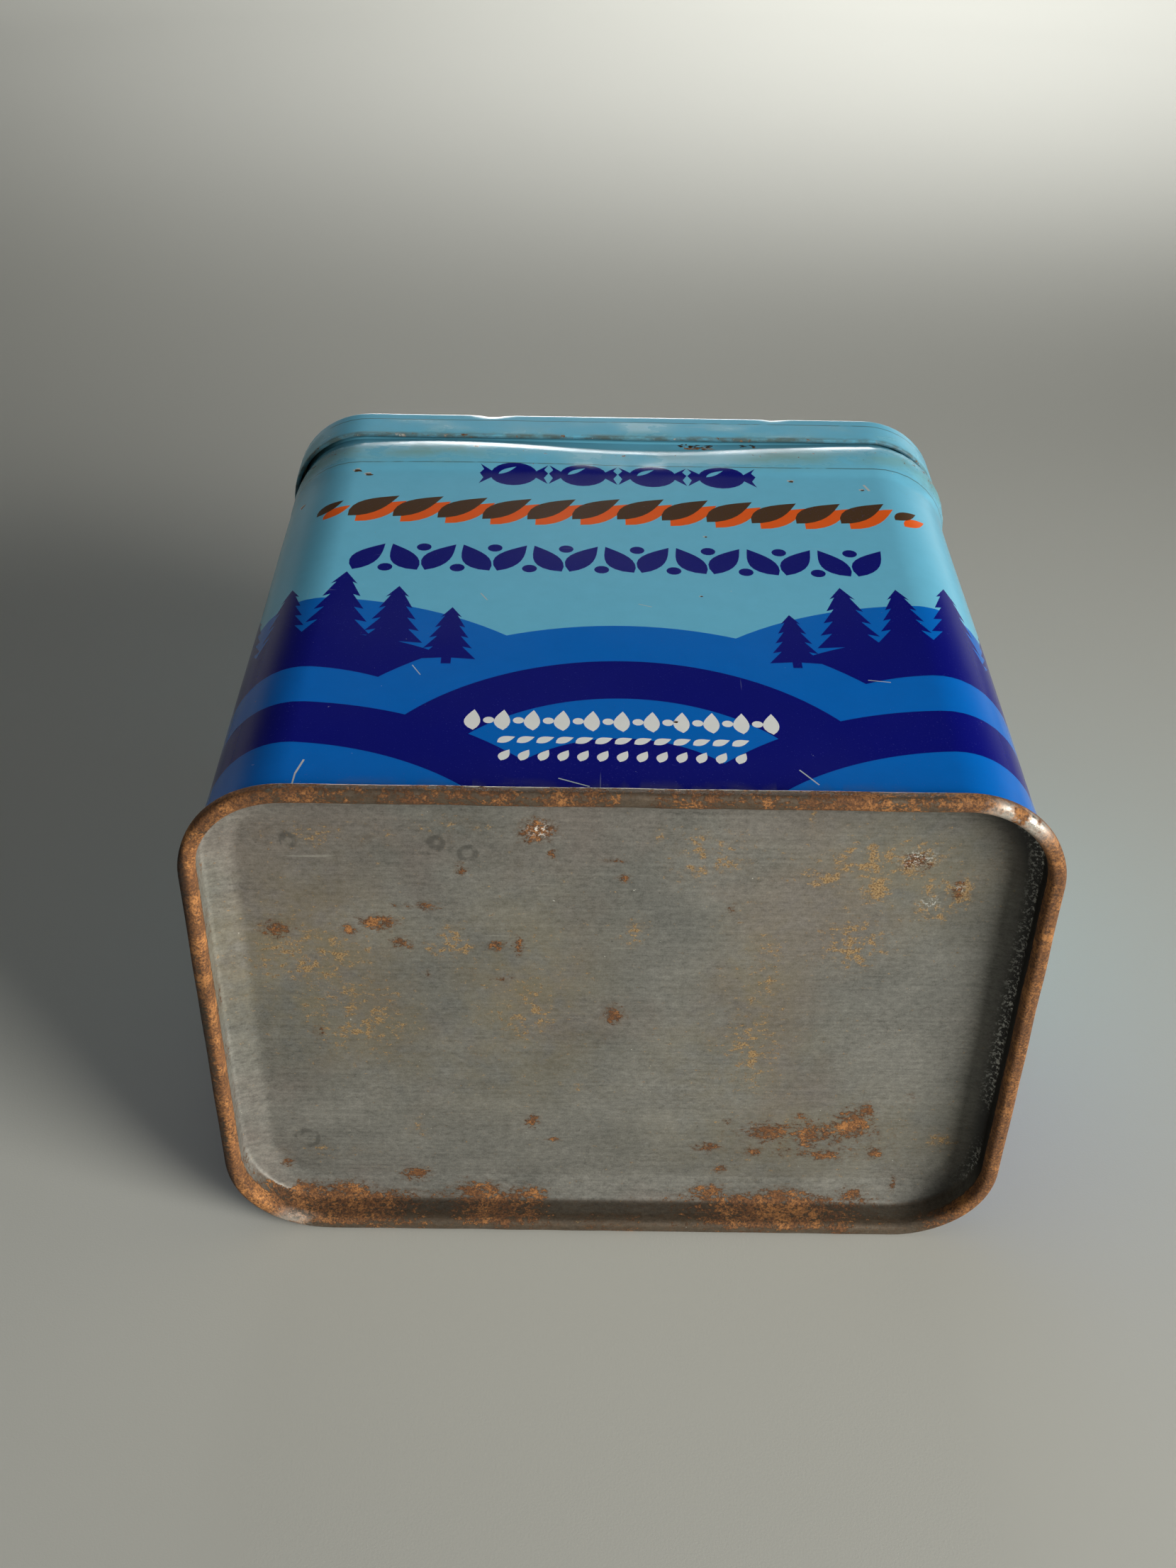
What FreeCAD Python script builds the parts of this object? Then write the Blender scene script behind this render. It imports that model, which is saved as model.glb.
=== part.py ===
import FreeCAD, Part
import math
import os

import Sketcher

# A rectangular sheet-metal sweet tin with rounded corners, lying on its back.
# +X runs across the front panel, +Y runs from the base to the lid, and +Z points out of the front
# panel. Z = 0 is the surface on which the tin lies, and the origin is the centre of its footprint.
# Each sub-part is drawn with its base rim at Y = 0 and then moved back by half the tin's length.

DRIVING_SIZES = {
    "tin_width": 130.0,
    "tin_depth": 95.0,
    "tin_length": 127.3,
    "rim_corner": 16.4,
    "sheet_gauge": 0.3,
    "fold_gap": 0.05,
    "wall_inset": 1.8,
    "rim_land": 0.5,
    "rim_height": 2.5,
    "rim_heel": 0.8,
    "seam_slot_end": 0.7,
    "chuck_overlap": 3.0,
    "foot_level": 5.3,
    "panel_level": 6.6,
    "foot_bend": 1.0,
    "dish_width": 5.0,
    "dish_bend": 2.5,
    "panel_overlap": 4.0,
    "flare_start": 103.2,
    "flare_bend": 12.0,
    "shoulder_level": 113.5,
    "shoulder_bend": 8.0,
    "neck_level": 117.4,
    "neck_bend": 0.8,
    "neck_gap": 0.6,
    "hem_bead": 0.5,
    "lid_inset": 1.0,
    "lid_height": 9.5,
    "lid_edge_bend": 0.9,
    "lid_step_rise": 1.0,
    "lid_step_run": 1.4,
    "lid_step_bend": 1.0,
    "lid_border": 6.6,
    "lid_hem_bead": 0.35,
    "lid_seat_gap": 0.3,
    "lap_width": 5.0,
    "lap_start": 8.0,
    "lap_end": 102.0,
}

SHEET = "Sizes"
Y_AXIS, ORIGIN = -2, -1
START, END, CENTRE = 1, 2, 3


class Size:
    """A length that carries its number and the sheet expression which drives it."""

    def __init__(self, number, text):
        self.number = number
        self.text = text

    def joined(self, other, sign, number):
        return Size(number, f"({self.text} {sign} {other.text})")

    def __add__(self, other):
        return self.joined(other, "+", self.number + other.number)

    def __sub__(self, other):
        return self.joined(other, "-", self.number - other.number)

    def half(self):
        return Size(self.number / 2, f"({self.text} / 2)")

    def twice(self):
        return Size(self.number * 2, f"({self.text} * 2)")


class Sizes:
    """The driving dimensions, as cells of the sheet and as named lengths."""

    def __init__(self, doc):
        sheet = doc.addObject("Spreadsheet::Sheet", SHEET)
        for row, (alias, number) in enumerate(DRIVING_SIZES.items(), start=1):
            sheet.set(f"A{row}", alias)
            sheet.set(f"B{row}", str(number))
            sheet.setAlias(f"B{row}", alias)
            setattr(self, alias, Size(number, f"{SHEET}.{alias}"))


def bind(thing, name, size):
    """Drives a property of an object from the sheet."""
    setattr(thing, name, size.number)
    thing.setExpression(name, size.text)


def new_sketch(body, plane, name):
    sketch = body.newObject("Sketcher::SketchObject", name)
    origin_plane = next(f for f in body.Origin.OriginFeatures if f.Role == plane)
    sketch.AttachmentSupport = [(origin_plane, "")]
    sketch.MapMode = "FlatFace"
    return sketch


def drive(sketch, kind, *where_and_size):
    """Adds a dimension whose value comes from the sheet."""
    *where, size = where_and_size
    index = sketch.addConstraint(Sketcher.Constraint(kind, *where, size.number))
    sketch.setExpression(f"Constraints[{index}]", size.text)


def join(sketch, kind, *where):
    sketch.addConstraint(Sketcher.Constraint(kind, *where))


def place(sketch, geometry, point, across, up):
    """Fixes a point of the sketch at two lengths from the origin."""
    drive(sketch, "DistanceX", ORIGIN, START, geometry, point, across)
    drive(sketch, "DistanceY", ORIGIN, START, geometry, point, up)


def vector(point):
    return FreeCAD.Vector(point[0], point[1], 0)


def bend_numbers(before, corner, after, radius):
    """The tangent points, centre and turn of an arc that rounds one corner of a path."""
    arriving = (vector(corner) - vector(before)).normalize()
    leaving = (vector(after) - vector(corner)).normalize()
    turn = math.copysign(1, arriving.x * leaving.y - arriving.y * leaving.x)
    cut = radius * math.tan(arriving.getAngle(leaving) / 2)
    first = vector(corner) - arriving * cut
    last = vector(corner) + leaving * cut
    centre = first + FreeCAD.Vector(-arriving.y, arriving.x, 0) * (turn * radius)
    return first, last, centre, turn


def add_line(sketch, first, last):
    return sketch.addGeometry(Part.LineSegment(first, last), False)


def add_arc(sketch, first, last, centre, turn):
    """Adds an arc, and returns its index with the names of its first and last ends."""
    radius = (first - centre).Length
    angles = [math.atan2(p.y - centre.y, p.x - centre.x) for p in (first, last)]
    if turn < 0:
        angles.reverse()
    circle = Part.Circle(centre, FreeCAD.Vector(0, 0, 1), radius)
    index = sketch.addGeometry(Part.ArcOfCircle(circle, *angles), False)
    ends = (START, END) if turn > 0 else (END, START)
    return index, ends


def add_rounded_run(sketch, starts, bends):
    """Draws straight runs joined by tangent arcs. starts are the run's two free ends."""
    free_start, free_end = starts
    points = [free_start]
    for first, last, _, _ in bends:
        points += [first, last]
    points.append(free_end)
    lines = [add_line(sketch, a, b) for a, b in zip(points[::2], points[1::2])]
    arcs = [add_arc(sketch, *bend) for bend in bends]
    for place_in_run, (arc, ends) in enumerate(arcs):
        join(sketch, "Tangent", lines[place_in_run], END, arc, ends[0])
        join(sketch, "Tangent", arc, ends[1], lines[place_in_run + 1], START)
    return lines, [arc for arc, _ in arcs]


def place_corners(sketch, lines, corners):
    """Fixes the sharp corner in which each two neighbouring lines would meet."""
    for first, last, (across, up, _) in zip(lines, lines[1:], corners):
        sharp = sketch.addGeometry(Part.Point(vector((across.number, up.number))), True)
        join(sketch, "PointOnObject", sharp, START, first)
        join(sketch, "PointOnObject", sharp, START, last)
        place(sketch, sharp, START, across, up)


def draw_folded_strip(sketch, start, corners, end, gauge, side):
    """Draws the section of a folded sheet. start, corners and end follow its outer face, and the
    sheet's gauge lies to the left of that path where side is 1, or to its right where it is -1."""
    numbers = [(p[0].number, p[1].number) for p in (start, *corners, end)]
    bends = [
        bend_numbers(before, corner, after, bend.number)
        for before, corner, after, (_, _, bend) in zip(
            numbers, numbers[1:], numbers[2:], corners
        )
    ]

    def inner(point, run):
        direction = (vector(run[1]) - vector(run[0])).normalize()
        normal = FreeCAD.Vector(-direction.y, direction.x, 0)
        return point + normal * (side * gauge.number)

    outer_ends = (vector(numbers[0]), vector(numbers[-1]))
    inner_ends = (inner(outer_ends[0], numbers[:2]), inner(outer_ends[1], numbers[-2:]))
    inner_bends = []
    for place_in_run, (first, last, centre, turn) in enumerate(bends):
        arriving = numbers[place_in_run : place_in_run + 2]
        leaving = numbers[place_in_run + 1 : place_in_run + 3]
        inner_bends.append((inner(first, arriving), inner(last, leaving), centre, turn))
    outer_lines, outer_arcs = add_rounded_run(sketch, outer_ends, bends)
    inner_lines, inner_arcs = add_rounded_run(sketch, inner_ends, inner_bends)
    for outer, inside, (_, _, bend), (_, _, _, turn) in zip(
        outer_arcs, inner_arcs, corners, bends
    ):
        join(sketch, "Coincident", outer, CENTRE, inside, CENTRE)
        drive(sketch, "Radius", outer, bend)
        drive(sketch, "Radius", inside, bend - gauge if turn == side else bend + gauge)
    place_corners(sketch, outer_lines, corners)
    place(sketch, outer_lines[0], START, start[0], start[1])
    place(sketch, outer_lines[-1], END, end[0], end[1])
    for line, inside, end_name, ends in (
        (outer_lines[0], inner_lines[0], START, (outer_ends[0], inner_ends[0])),
        (outer_lines[-1], inner_lines[-1], END, (outer_ends[1], inner_ends[1])),
    ):
        cap = add_line(sketch, *ends)
        join(sketch, "Coincident", cap, START, line, end_name)
        join(sketch, "Coincident", cap, END, inside, end_name)
        join(sketch, "Perpendicular", cap, line)
        join(sketch, "Parallel", inside, line)


def draw_outline(sketch, corners):
    """Draws a closed outline. A corner is (across, up, bend), with None for a sharp corner."""
    count = len(corners)
    numbers = [(across.number, up.number) for across, up, _ in corners]
    rounded = {}
    for index, (_, _, bend) in enumerate(corners):
        if bend is not None:
            before, after = numbers[index - 1], numbers[(index + 1) % count]
            rounded[index] = bend_numbers(before, numbers[index], after, bend.number)
    lines = []
    for index in range(count):
        following = (index + 1) % count
        first = rounded[index][1] if index in rounded else vector(numbers[index])
        last = rounded[following][0] if following in rounded else vector(numbers[following])
        lines.append(add_line(sketch, first, last))
    for index, (across, up, bend) in enumerate(corners):
        arriving, leaving = lines[index - 1], lines[index]
        if bend is None:
            join(sketch, "Coincident", arriving, END, leaving, START)
            place(sketch, leaving, START, across, up)
            continue
        arc, ends = add_arc(sketch, *rounded[index])
        join(sketch, "Tangent", arriving, END, arc, ends[0])
        join(sketch, "Tangent", arc, ends[1], leaving, START)
        drive(sketch, "Radius", arc, bend)
        place_corners(sketch, (arriving, leaving), [(across, up, bend)])


def draw_rounded_rectangle(sketch, half_width, bottom, top, corner):
    """Draws the tin's plan outline, with a joint in the middle of its top side."""
    wide, low, high, radius = (s.number for s in (half_width, bottom, top, corner))
    middle = FreeCAD.Vector(0, high, 0)
    sharp_corners = [(-wide, high), (-wide, low), (wide, low), (wide, high)]
    around = [(0, high), *sharp_corners, (0, high)]
    bends = [
        bend_numbers(before, at, after, radius)
        for before, at, after in zip(around, around[1:], around[2:])
    ]
    lines, arcs = add_rounded_run(sketch, (middle, middle), bends)
    join(sketch, "Coincident", lines[-1], END, lines[0], START)
    join(sketch, "PointOnObject", lines[0], START, Y_AXIS)
    for line, kind in zip(lines, ("Horizontal", "Vertical", "Horizontal", "Vertical", "Horizontal")):
        join(sketch, kind, line)
    for arc in arcs[1:]:
        join(sketch, "Equal", arcs[0], arc)
    drive(sketch, "Radius", arcs[0], corner)
    drive(sketch, "DistanceY", ORIGIN, START, lines[0], START, top)
    drive(sketch, "DistanceY", lines[2], START, lines[0], START, top - bottom)
    drive(sketch, "DistanceX", ORIGIN, START, lines[3], START, half_width)
    drive(sketch, "DistanceX", lines[1], START, lines[3], START, half_width.twice())


def new_body(doc, label):
    body = doc.addObject("PartDesign::Body", label)
    body.Label = label
    return body


def add_rim_path(body, dims):
    """The tin's outermost plan outline, along which every folded section is swept."""
    path = new_sketch(body, "XZ_Plane", "rim_path")
    zero = dims.tin_depth - dims.tin_depth
    draw_rounded_rectangle(path, dims.tin_width.half(), zero, dims.tin_depth, dims.rim_corner)
    return path


def sweep(doc, body, path, section, name):
    """Carries a section round the tin."""
    ring = body.newObject("PartDesign::AdditivePipe", name)
    ring.Profile = section
    ring.Spine = (path, [])
    ring.Mode = "Standard"
    doc.recompute()
    return ring


def sweep_bead(doc, body, path, dims, name, centre_level, centre_inset, radius):
    """Carries a round bead, such as a curled or hemmed sheet edge, round the tin."""
    section = new_sketch(body, "YZ_Plane", f"{name}_section")
    level, height = centre_level, dims.tin_depth - centre_inset
    at = vector((level.number, height.number))
    circle = section.addGeometry(Part.Circle(at, FreeCAD.Vector(0, 0, 1), radius.number), False)
    drive(section, "Radius", circle, radius)
    place(section, circle, CENTRE, level, height)
    return sweep(doc, body, path, section, name)


def pad_panel(doc, body, dims, name, level, inset, thickness, inwards):
    """Fills the middle of a ring with a flat sheet whose face lies at a level along the tin."""
    outline = new_sketch(body, "XZ_Plane", f"{name}_outline")
    draw_rounded_rectangle(
        outline,
        dims.tin_width.half() - inset,
        inset,
        dims.tin_depth - inset,
        dims.rim_corner - inset,
    )
    # The plan sketches face -Y, so a sketch's own offset is minus its level along the tin.
    outline.AttachmentOffset = FreeCAD.Placement(
        FreeCAD.Vector(0, 0, -level.number), FreeCAD.Rotation()
    )
    outline.setExpression("AttachmentOffset.Base.z", f"-({level.text})")
    panel = body.newObject("PartDesign::Pad", name)
    panel.Profile = outline
    bind(panel, "Length", thickness)
    panel.Reversed = inwards
    doc.recompute()
    return panel


def make_body(doc, dims):
    """The printed wall: one sheet with a flared shoulder, a neck under the lid, and a side seam."""
    body = new_body(doc, "body")
    path = add_rim_path(body, dims)
    wall_face = dims.tin_depth - dims.wall_inset
    neck_inset = dims.lid_inset + dims.lid_hem_bead.twice() + dims.neck_gap
    neck_face = dims.tin_depth - neck_inset
    lid_underside = dims.tin_length - dims.lid_step_rise - dims.sheet_gauge
    hem_level = lid_underside - dims.lid_seat_gap - dims.hem_bead

    section = new_sketch(body, "YZ_Plane", "wall_section")
    corners = [
        (dims.flare_start, wall_face, dims.flare_bend),
        (dims.shoulder_level, dims.tin_depth, dims.shoulder_bend),
        (dims.neck_level, neck_face, dims.neck_bend),
    ]
    start = (dims.seam_slot_end + dims.fold_gap, wall_face)
    draw_folded_strip(section, start, corners, (hem_level, neck_face), dims.sheet_gauge, -1)
    sweep(doc, body, path, section, "wall")
    sweep_bead(
        doc, body, path, dims, "neck_hem", hem_level, neck_inset + dims.hem_bead, dims.hem_bead
    )

    # The lapped edge of the side seam, on the inside of the back wall.
    lap = new_sketch(body, "YZ_Plane", "side_seam_section")
    seam_low = dims.wall_inset + dims.sheet_gauge.half()
    seam_high = dims.wall_inset + dims.sheet_gauge.twice()
    draw_outline(
        lap,
        [
            (dims.lap_start, seam_low, None),
            (dims.lap_end, seam_low, None),
            (dims.lap_end, seam_high, None),
            (dims.lap_start, seam_high, None),
        ],
    )
    side_seam = body.newObject("PartDesign::Pad", "side_seam")
    side_seam.Profile = lap
    bind(side_seam, "Length", dims.lap_width)
    side_seam.SideType = "Symmetric"
    doc.recompute()
    return body


def make_base(doc, dims):
    """The bottom: a dished panel, a countersink wall, and the seam bead that grips the wall."""
    body = new_body(doc, "base")
    path = add_rim_path(body, dims)
    slot_outer = dims.wall_inset - dims.fold_gap
    slot_inner = dims.wall_inset + dims.sheet_gauge + dims.fold_gap
    chuck_inset = slot_inner + dims.sheet_gauge
    crown = (chuck_inset - dims.rim_land).half()

    def facing(inset):
        return dims.tin_depth - inset

    # The bead's outer hook, its crown with the narrow land on which the tin stands, and the
    # slot between hook and countersink wall that holds the lower edge of the body.
    bead = new_sketch(body, "YZ_Plane", "rim_section")
    level_zero = dims.rim_height - dims.rim_height
    draw_outline(
        bead,
        [
            (level_zero, facing(chuck_inset), crown),
            (dims.chuck_overlap, facing(chuck_inset), None),
            (dims.chuck_overlap, facing(slot_inner), None),
            (dims.seam_slot_end, facing(slot_inner), None),
            (dims.seam_slot_end, facing(slot_outer), None),
            (dims.rim_height, facing(slot_outer), None),
            (dims.rim_height, dims.tin_depth, dims.rim_heel),
            (level_zero, dims.tin_depth, crown),
        ],
    )
    sweep(doc, body, path, bead, "rim")

    section = new_sketch(body, "YZ_Plane", "pan_section")
    dish_inset = chuck_inset + dims.dish_width
    corners = [
        (dims.foot_level, facing(chuck_inset), dims.foot_bend),
        (dims.panel_level, facing(dish_inset), dims.dish_bend),
    ]
    start = (dims.chuck_overlap.half(), facing(chuck_inset))
    end = (dims.panel_level, facing(dish_inset + dims.panel_overlap))
    draw_folded_strip(section, start, corners, end, dims.sheet_gauge, 1)
    sweep(doc, body, path, section, "pan_border")
    panel_inset = dish_inset + dims.panel_overlap.half()
    pad_panel(doc, body, dims, "panel", dims.panel_level, panel_inset, dims.sheet_gauge, True)
    return body


def make_lid(doc, dims):
    """The slip-on lid: a stepped top panel, a rounded edge, and a skirt with a hemmed lower edge."""
    body = new_body(doc, "lid")
    path = add_rim_path(body, dims)
    skirt_face = dims.tin_depth - dims.lid_inset
    border_level = dims.tin_length - dims.lid_step_rise
    hem_level = border_level - dims.lid_height + dims.lid_hem_bead
    step_outer = dims.lid_border
    step_inner = dims.lid_border + dims.lid_step_run

    section = new_sketch(body, "YZ_Plane", "skirt_section")
    corners = [
        (border_level, skirt_face, dims.lid_edge_bend),
        (border_level, dims.tin_depth - step_outer, dims.lid_step_bend),
        (dims.tin_length, dims.tin_depth - step_inner, dims.lid_step_bend),
    ]
    end = (dims.tin_length, dims.tin_depth - (step_inner + dims.panel_overlap))
    draw_folded_strip(section, (hem_level, skirt_face), corners, end, dims.sheet_gauge, -1)
    sweep(doc, body, path, section, "skirt")
    hem_inset = dims.lid_inset + dims.lid_hem_bead
    sweep_bead(doc, body, path, dims, "skirt_hem", hem_level, hem_inset, dims.lid_hem_bead)
    panel_inset = step_inner + dims.panel_overlap.half()
    pad_panel(doc, body, dims, "top_panel", dims.tin_length, panel_inset, dims.sheet_gauge, False)
    return body


def stand_in_frame(body, dims):
    """Moves a sub-part so that the origin is the centre of the tin's footprint."""
    body.Placement = FreeCAD.Placement(
        FreeCAD.Vector(0, -dims.tin_length.number / 2, 0), FreeCAD.Rotation()
    )
    body.setExpression("Placement.Base.y", f"-({dims.tin_length.text}) / 2")


def check(doc, bodies):
    for thing in doc.Objects:
        for state in ("Invalid", "Error"):
            if state in thing.State:
                raise RuntimeError(f"{thing.Name} is {state}: {thing.State}")
    for body in bodies:
        if body.Shape.isNull() or not body.Shape.isValid():
            raise RuntimeError(f"{body.Label} has no valid shape")
        if len(body.Shape.Solids) != 1:
            raise RuntimeError(f"{body.Label} holds {len(body.Shape.Solids)} solids")


def main():
    doc = FreeCAD.newDocument("sweet_tin")
    dims = Sizes(doc)
    doc.recompute()
    bodies = [make(doc, dims) for make in (make_body, make_base, make_lid)]
    for body in bodies:
        stand_in_frame(body, dims)
    doc.recompute()
    check(doc, bodies)
    os.makedirs("parts", exist_ok=True)
    for body in bodies:
        body.Shape.exportStep(os.path.join("parts", f"{body.Label}.step"))
        box = body.Shape.BoundBox
        volume = body.Shape.Volume
        print(body.Label, "X", box.XMin, box.XMax, "Y", box.YMin, box.YMax, end=" ")
        print("Z", box.ZMin, box.ZMax, "volume", round(volume, 1))


main()
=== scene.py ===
import math

import bpy
import numpy as np
from mathutils import Matrix, Vector
from mathutils.geometry import delaunay_2d_cdt


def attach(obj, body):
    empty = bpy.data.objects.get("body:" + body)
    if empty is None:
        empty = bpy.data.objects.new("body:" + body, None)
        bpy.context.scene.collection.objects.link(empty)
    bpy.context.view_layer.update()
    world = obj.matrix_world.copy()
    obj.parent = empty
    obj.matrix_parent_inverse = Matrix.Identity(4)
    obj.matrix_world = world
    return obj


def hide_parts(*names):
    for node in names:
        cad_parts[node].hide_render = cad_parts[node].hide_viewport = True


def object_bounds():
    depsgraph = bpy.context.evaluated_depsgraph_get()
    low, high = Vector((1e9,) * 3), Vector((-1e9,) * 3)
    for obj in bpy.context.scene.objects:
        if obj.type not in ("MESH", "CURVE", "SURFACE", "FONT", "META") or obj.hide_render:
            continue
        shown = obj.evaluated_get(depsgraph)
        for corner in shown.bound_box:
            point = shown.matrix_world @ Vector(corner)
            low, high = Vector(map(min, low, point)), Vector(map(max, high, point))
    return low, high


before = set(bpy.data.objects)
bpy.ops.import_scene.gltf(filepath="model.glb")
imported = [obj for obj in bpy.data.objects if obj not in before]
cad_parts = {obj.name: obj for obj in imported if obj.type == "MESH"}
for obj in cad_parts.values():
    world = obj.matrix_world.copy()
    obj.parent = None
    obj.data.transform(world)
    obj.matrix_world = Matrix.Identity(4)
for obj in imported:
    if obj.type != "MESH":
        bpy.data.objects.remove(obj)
cad_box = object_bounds()

# Lengths are in millimetres until a mesh is made. Across is X, level is the distance from the base
# rim along the tin (Y), and inset is the distance inwards from the tin's outermost plan outline.
MM = 0.001
TIN_LOW, TIN_HIGH = (np.array(corner) / MM for corner in cad_box)
TIN_WIDTH, TIN_LENGTH, TIN_DEPTH = TIN_HIGH - TIN_LOW
RIM_CORNER = 16.4
GAUGE = 0.3
ARC_STEP = math.radians(11)

# The base: its seam bead, the slot in it for the wall, the countersink and the dished panel.
RIM_HEIGHT = 2.5
RIM_CROWN = 0.975
CHUCK_INSET = 2.45
SLOT = (1.75, 2.15)
SLOT_END = 0.7
FOOT_LEVEL = 5.3
PANEL_LEVEL = 6.6
DISH_INSET = 7.45
# The width of the ring round a panel that belongs to its edge.
PANEL_RING = 4.0

# The wall: FLARE, SHOULDER and NECK are each a level and the radius of the bend there.
WALL_INSET = 1.8
WALL_START = 0.75
FLARE = (103.2, 12.0)
SHOULDER = (113.5, 11.0)
NECK = (117.4, 0.8)
NECK_INSET = 2.3
NECK_HEM = 0.5
NECK_HEM_LEVEL = 125.2

# The lid: its skirt, the curled hem below it, and the border round its raised panel.
LID_INSET = 1.0
LID_HEM = 0.35
LID_HEM_LEVEL = 117.15
LID_EDGE_BEND = 0.9
LID_BORDER_LEVEL = 126.3
LID_BORDER = 6.6
LID_STEP_RUN = 1.4
STEP_BEND = 1.0

# Where the edges of a strip of tape lay across the lid's joint.
TAPE_LEVELS = (106.0, 123.3)


# ---------------- the tin's outline and sections


class Outline:
    """The plan outline. A place on it is its distance along the wall from the middle of the
    front panel, positive towards +X, and the side seam is at plus and minus half of the girth."""

    def __init__(self):
        self.flat_across = TIN_WIDTH / 2 - RIM_CORNER
        self.flat_deep = TIN_DEPTH / 2 - RIM_CORNER
        self.radius = RIM_CORNER - WALL_INSET
        self.quarter = self.radius * math.pi / 2
        self.half_girth = 2 * (self.flat_across + self.flat_deep + self.quarter)

    def at(self, along):
        """X, Z and the outward direction of points of the wall, for an array of places."""
        away = np.abs(along)
        ends = np.cumsum([self.flat_across, self.quarter, 2 * self.flat_deep, self.quarter])
        turn_front = np.clip((away - ends[0]) / self.radius, 0, math.pi / 2)
        turn_back = np.clip((away - ends[2]) / self.radius, 0, math.pi / 2)
        turn = turn_front + turn_back
        out_x, out_z = np.sin(turn), np.cos(turn)
        run_front = np.clip(away, 0, ends[0])
        run_side = np.clip(away - ends[1], 0, 2 * self.flat_deep)
        run_back = np.clip(away - ends[3], 0, self.flat_across)
        x = run_front - run_back + self.radius * out_x
        z = TIN_DEPTH - RIM_CORNER - run_side + self.radius * out_z
        # The mirror half has the same Z and the opposite X.
        side = np.where(along < 0, -1.0, 1.0)
        return x * side, z, out_x * side, out_z

    def steps(self, spacing):
        """Evenly spaced places round the whole wall, with joints where the corners begin."""
        ends = np.cumsum(
            [0, self.flat_across, self.quarter, 2 * self.flat_deep, self.quarter, self.flat_across]
        )
        half = [0.0]
        for first, last in zip(ends, ends[1:]):
            count = max(1, round((last - first) / spacing))
            half += list(np.linspace(first, last, count + 1)[1:])
        half = np.array(half)
        return np.concatenate([-half[:0:-1], half])


OUTLINE = Outline()


def unit(vector):
    return vector / np.linalg.norm(vector)


def rounded_path(corners, longest=2.5):
    """Samples a section's path through (level, inset) corners, where a third number is the radius
    of the bend there. Returns the samples, no further apart than the longest step."""
    samples = [np.array(corners[0][:2], float)]
    for before, corner, after in zip(corners, corners[1:], corners[2:]):
        point = np.array(corner[:2], float)
        if len(corner) == 2:
            samples.append(point)
            continue
        bend = corner[2]
        arriving, leaving = unit(point - before[:2]), unit(after[:2] - point)
        turn = math.atan2(
            arriving[0] * leaving[1] - arriving[1] * leaving[0], float(arriving @ leaving)
        )
        normal = np.array([-arriving[1], arriving[0]]) * math.copysign(1, turn)
        centre = point - arriving * bend * math.tan(abs(turn) / 2) + normal * bend
        spoke = -normal * bend
        for share in np.linspace(0, 1, max(2, math.ceil(abs(turn) / ARC_STEP)) + 1):
            c, s = math.cos(turn * share), math.sin(turn * share)
            samples.append(centre + (c * spoke[0] - s * spoke[1], s * spoke[0] + c * spoke[1]))
    samples.append(np.array(corners[-1][:2], float))
    filled = [samples[0]]
    for before, after in zip(samples, samples[1:]):
        length = np.linalg.norm(after - before)
        if length < 1e-6:
            continue
        for share in np.linspace(0, 1, max(1, math.ceil(length / longest)) + 1)[1:]:
            filled.append(before + (after - before) * share)
    return np.array(filled)


def path_normals(path):
    """The side of a path that faces outwards, where a path along +Y at a small inset faces out."""
    along = np.gradient(path, axis=0)
    along /= np.linalg.norm(along, axis=1)[:, None]
    return np.stack([along[:, 1], -along[:, 0]], 1)


def arc(centre, radius, first, last, count):
    """Points of a round bead's section. Angle 0 points outwards and 90 along +Y."""
    angles = np.radians(np.linspace(first, last, count))
    return np.stack(
        [centre[0] + radius * np.sin(angles), centre[1] - radius * np.cos(angles)], 1
    )


# ---------------- dents and unevenness


def ease(value, start, end):
    """0 at start and 1 at end, whichever of them is larger."""
    share = np.clip((value - start) / (end - start), 0, 1)
    return share * share * (3 - 2 * share)


def bump(value, centre, width):
    return np.exp(-(((value - centre) / width) ** 2))


def waves(first, second, seed, length):
    """Slow, repeatable unevenness between about -1 and 1."""
    source = np.random.default_rng(seed)
    total = np.zeros(np.broadcast(first, second).shape)
    for _ in range(6):
        turn, phase = source.uniform(0, math.tau, 2)
        wave = math.tau / (length * source.uniform(0.6, 1.8))
        total += np.sin((first * math.cos(turn) + second * math.sin(turn)) * wave + phase)
    return total / 4


def wall_dents(along, level):
    """How far the wall is pushed out, and moved along the tin. The shoulder is knocked in."""
    zone = ease(level, 103, 111) * ease(level, 119, 114.5)
    middle = bump(along, 6, 27)
    corner = bump(along, -62, 20)
    pushed = -(1.25 * middle + 1.1 * corner) * zone
    slid = -1.0 * middle * ease(level, 100, 110) * ease(level, 119, 114)
    seam = np.abs(np.abs(along) - OUTLINE.half_girth)
    free = ease(level, 3, 14) * ease(level, 117, 112) * ease(seam, 1, 9)
    pushed = pushed + free * (waves(along, level, 11, 60) * 0.16 - 0.16)
    return pushed, slid


def lid_dents(along, level):
    edge = ease(level, 119, 117)
    top = ease(level, 124, 126.2) * ease(level, 126.5, 126.32)
    pushed = edge * (waves(along, 0 * level, 5, 24) * 0.1 - 0.1)
    knock = bump(along, -24.5, 2.2) + 0.6 * bump(along, 31, 1.6) + 0.5 * bump(along, 96, 3)
    return pushed - 0.35 * top * knock, -0.3 * top * knock


def rim_dents(along, level):
    crown = ease(level, 3.2, 1.6)
    pushed = crown * (waves(along, 0 * level, 21, 9) * 0.07 - 0.1)
    return pushed, crown * (waves(along, 0 * level, 22, 14) * 0.05 + 0.06)


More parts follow.
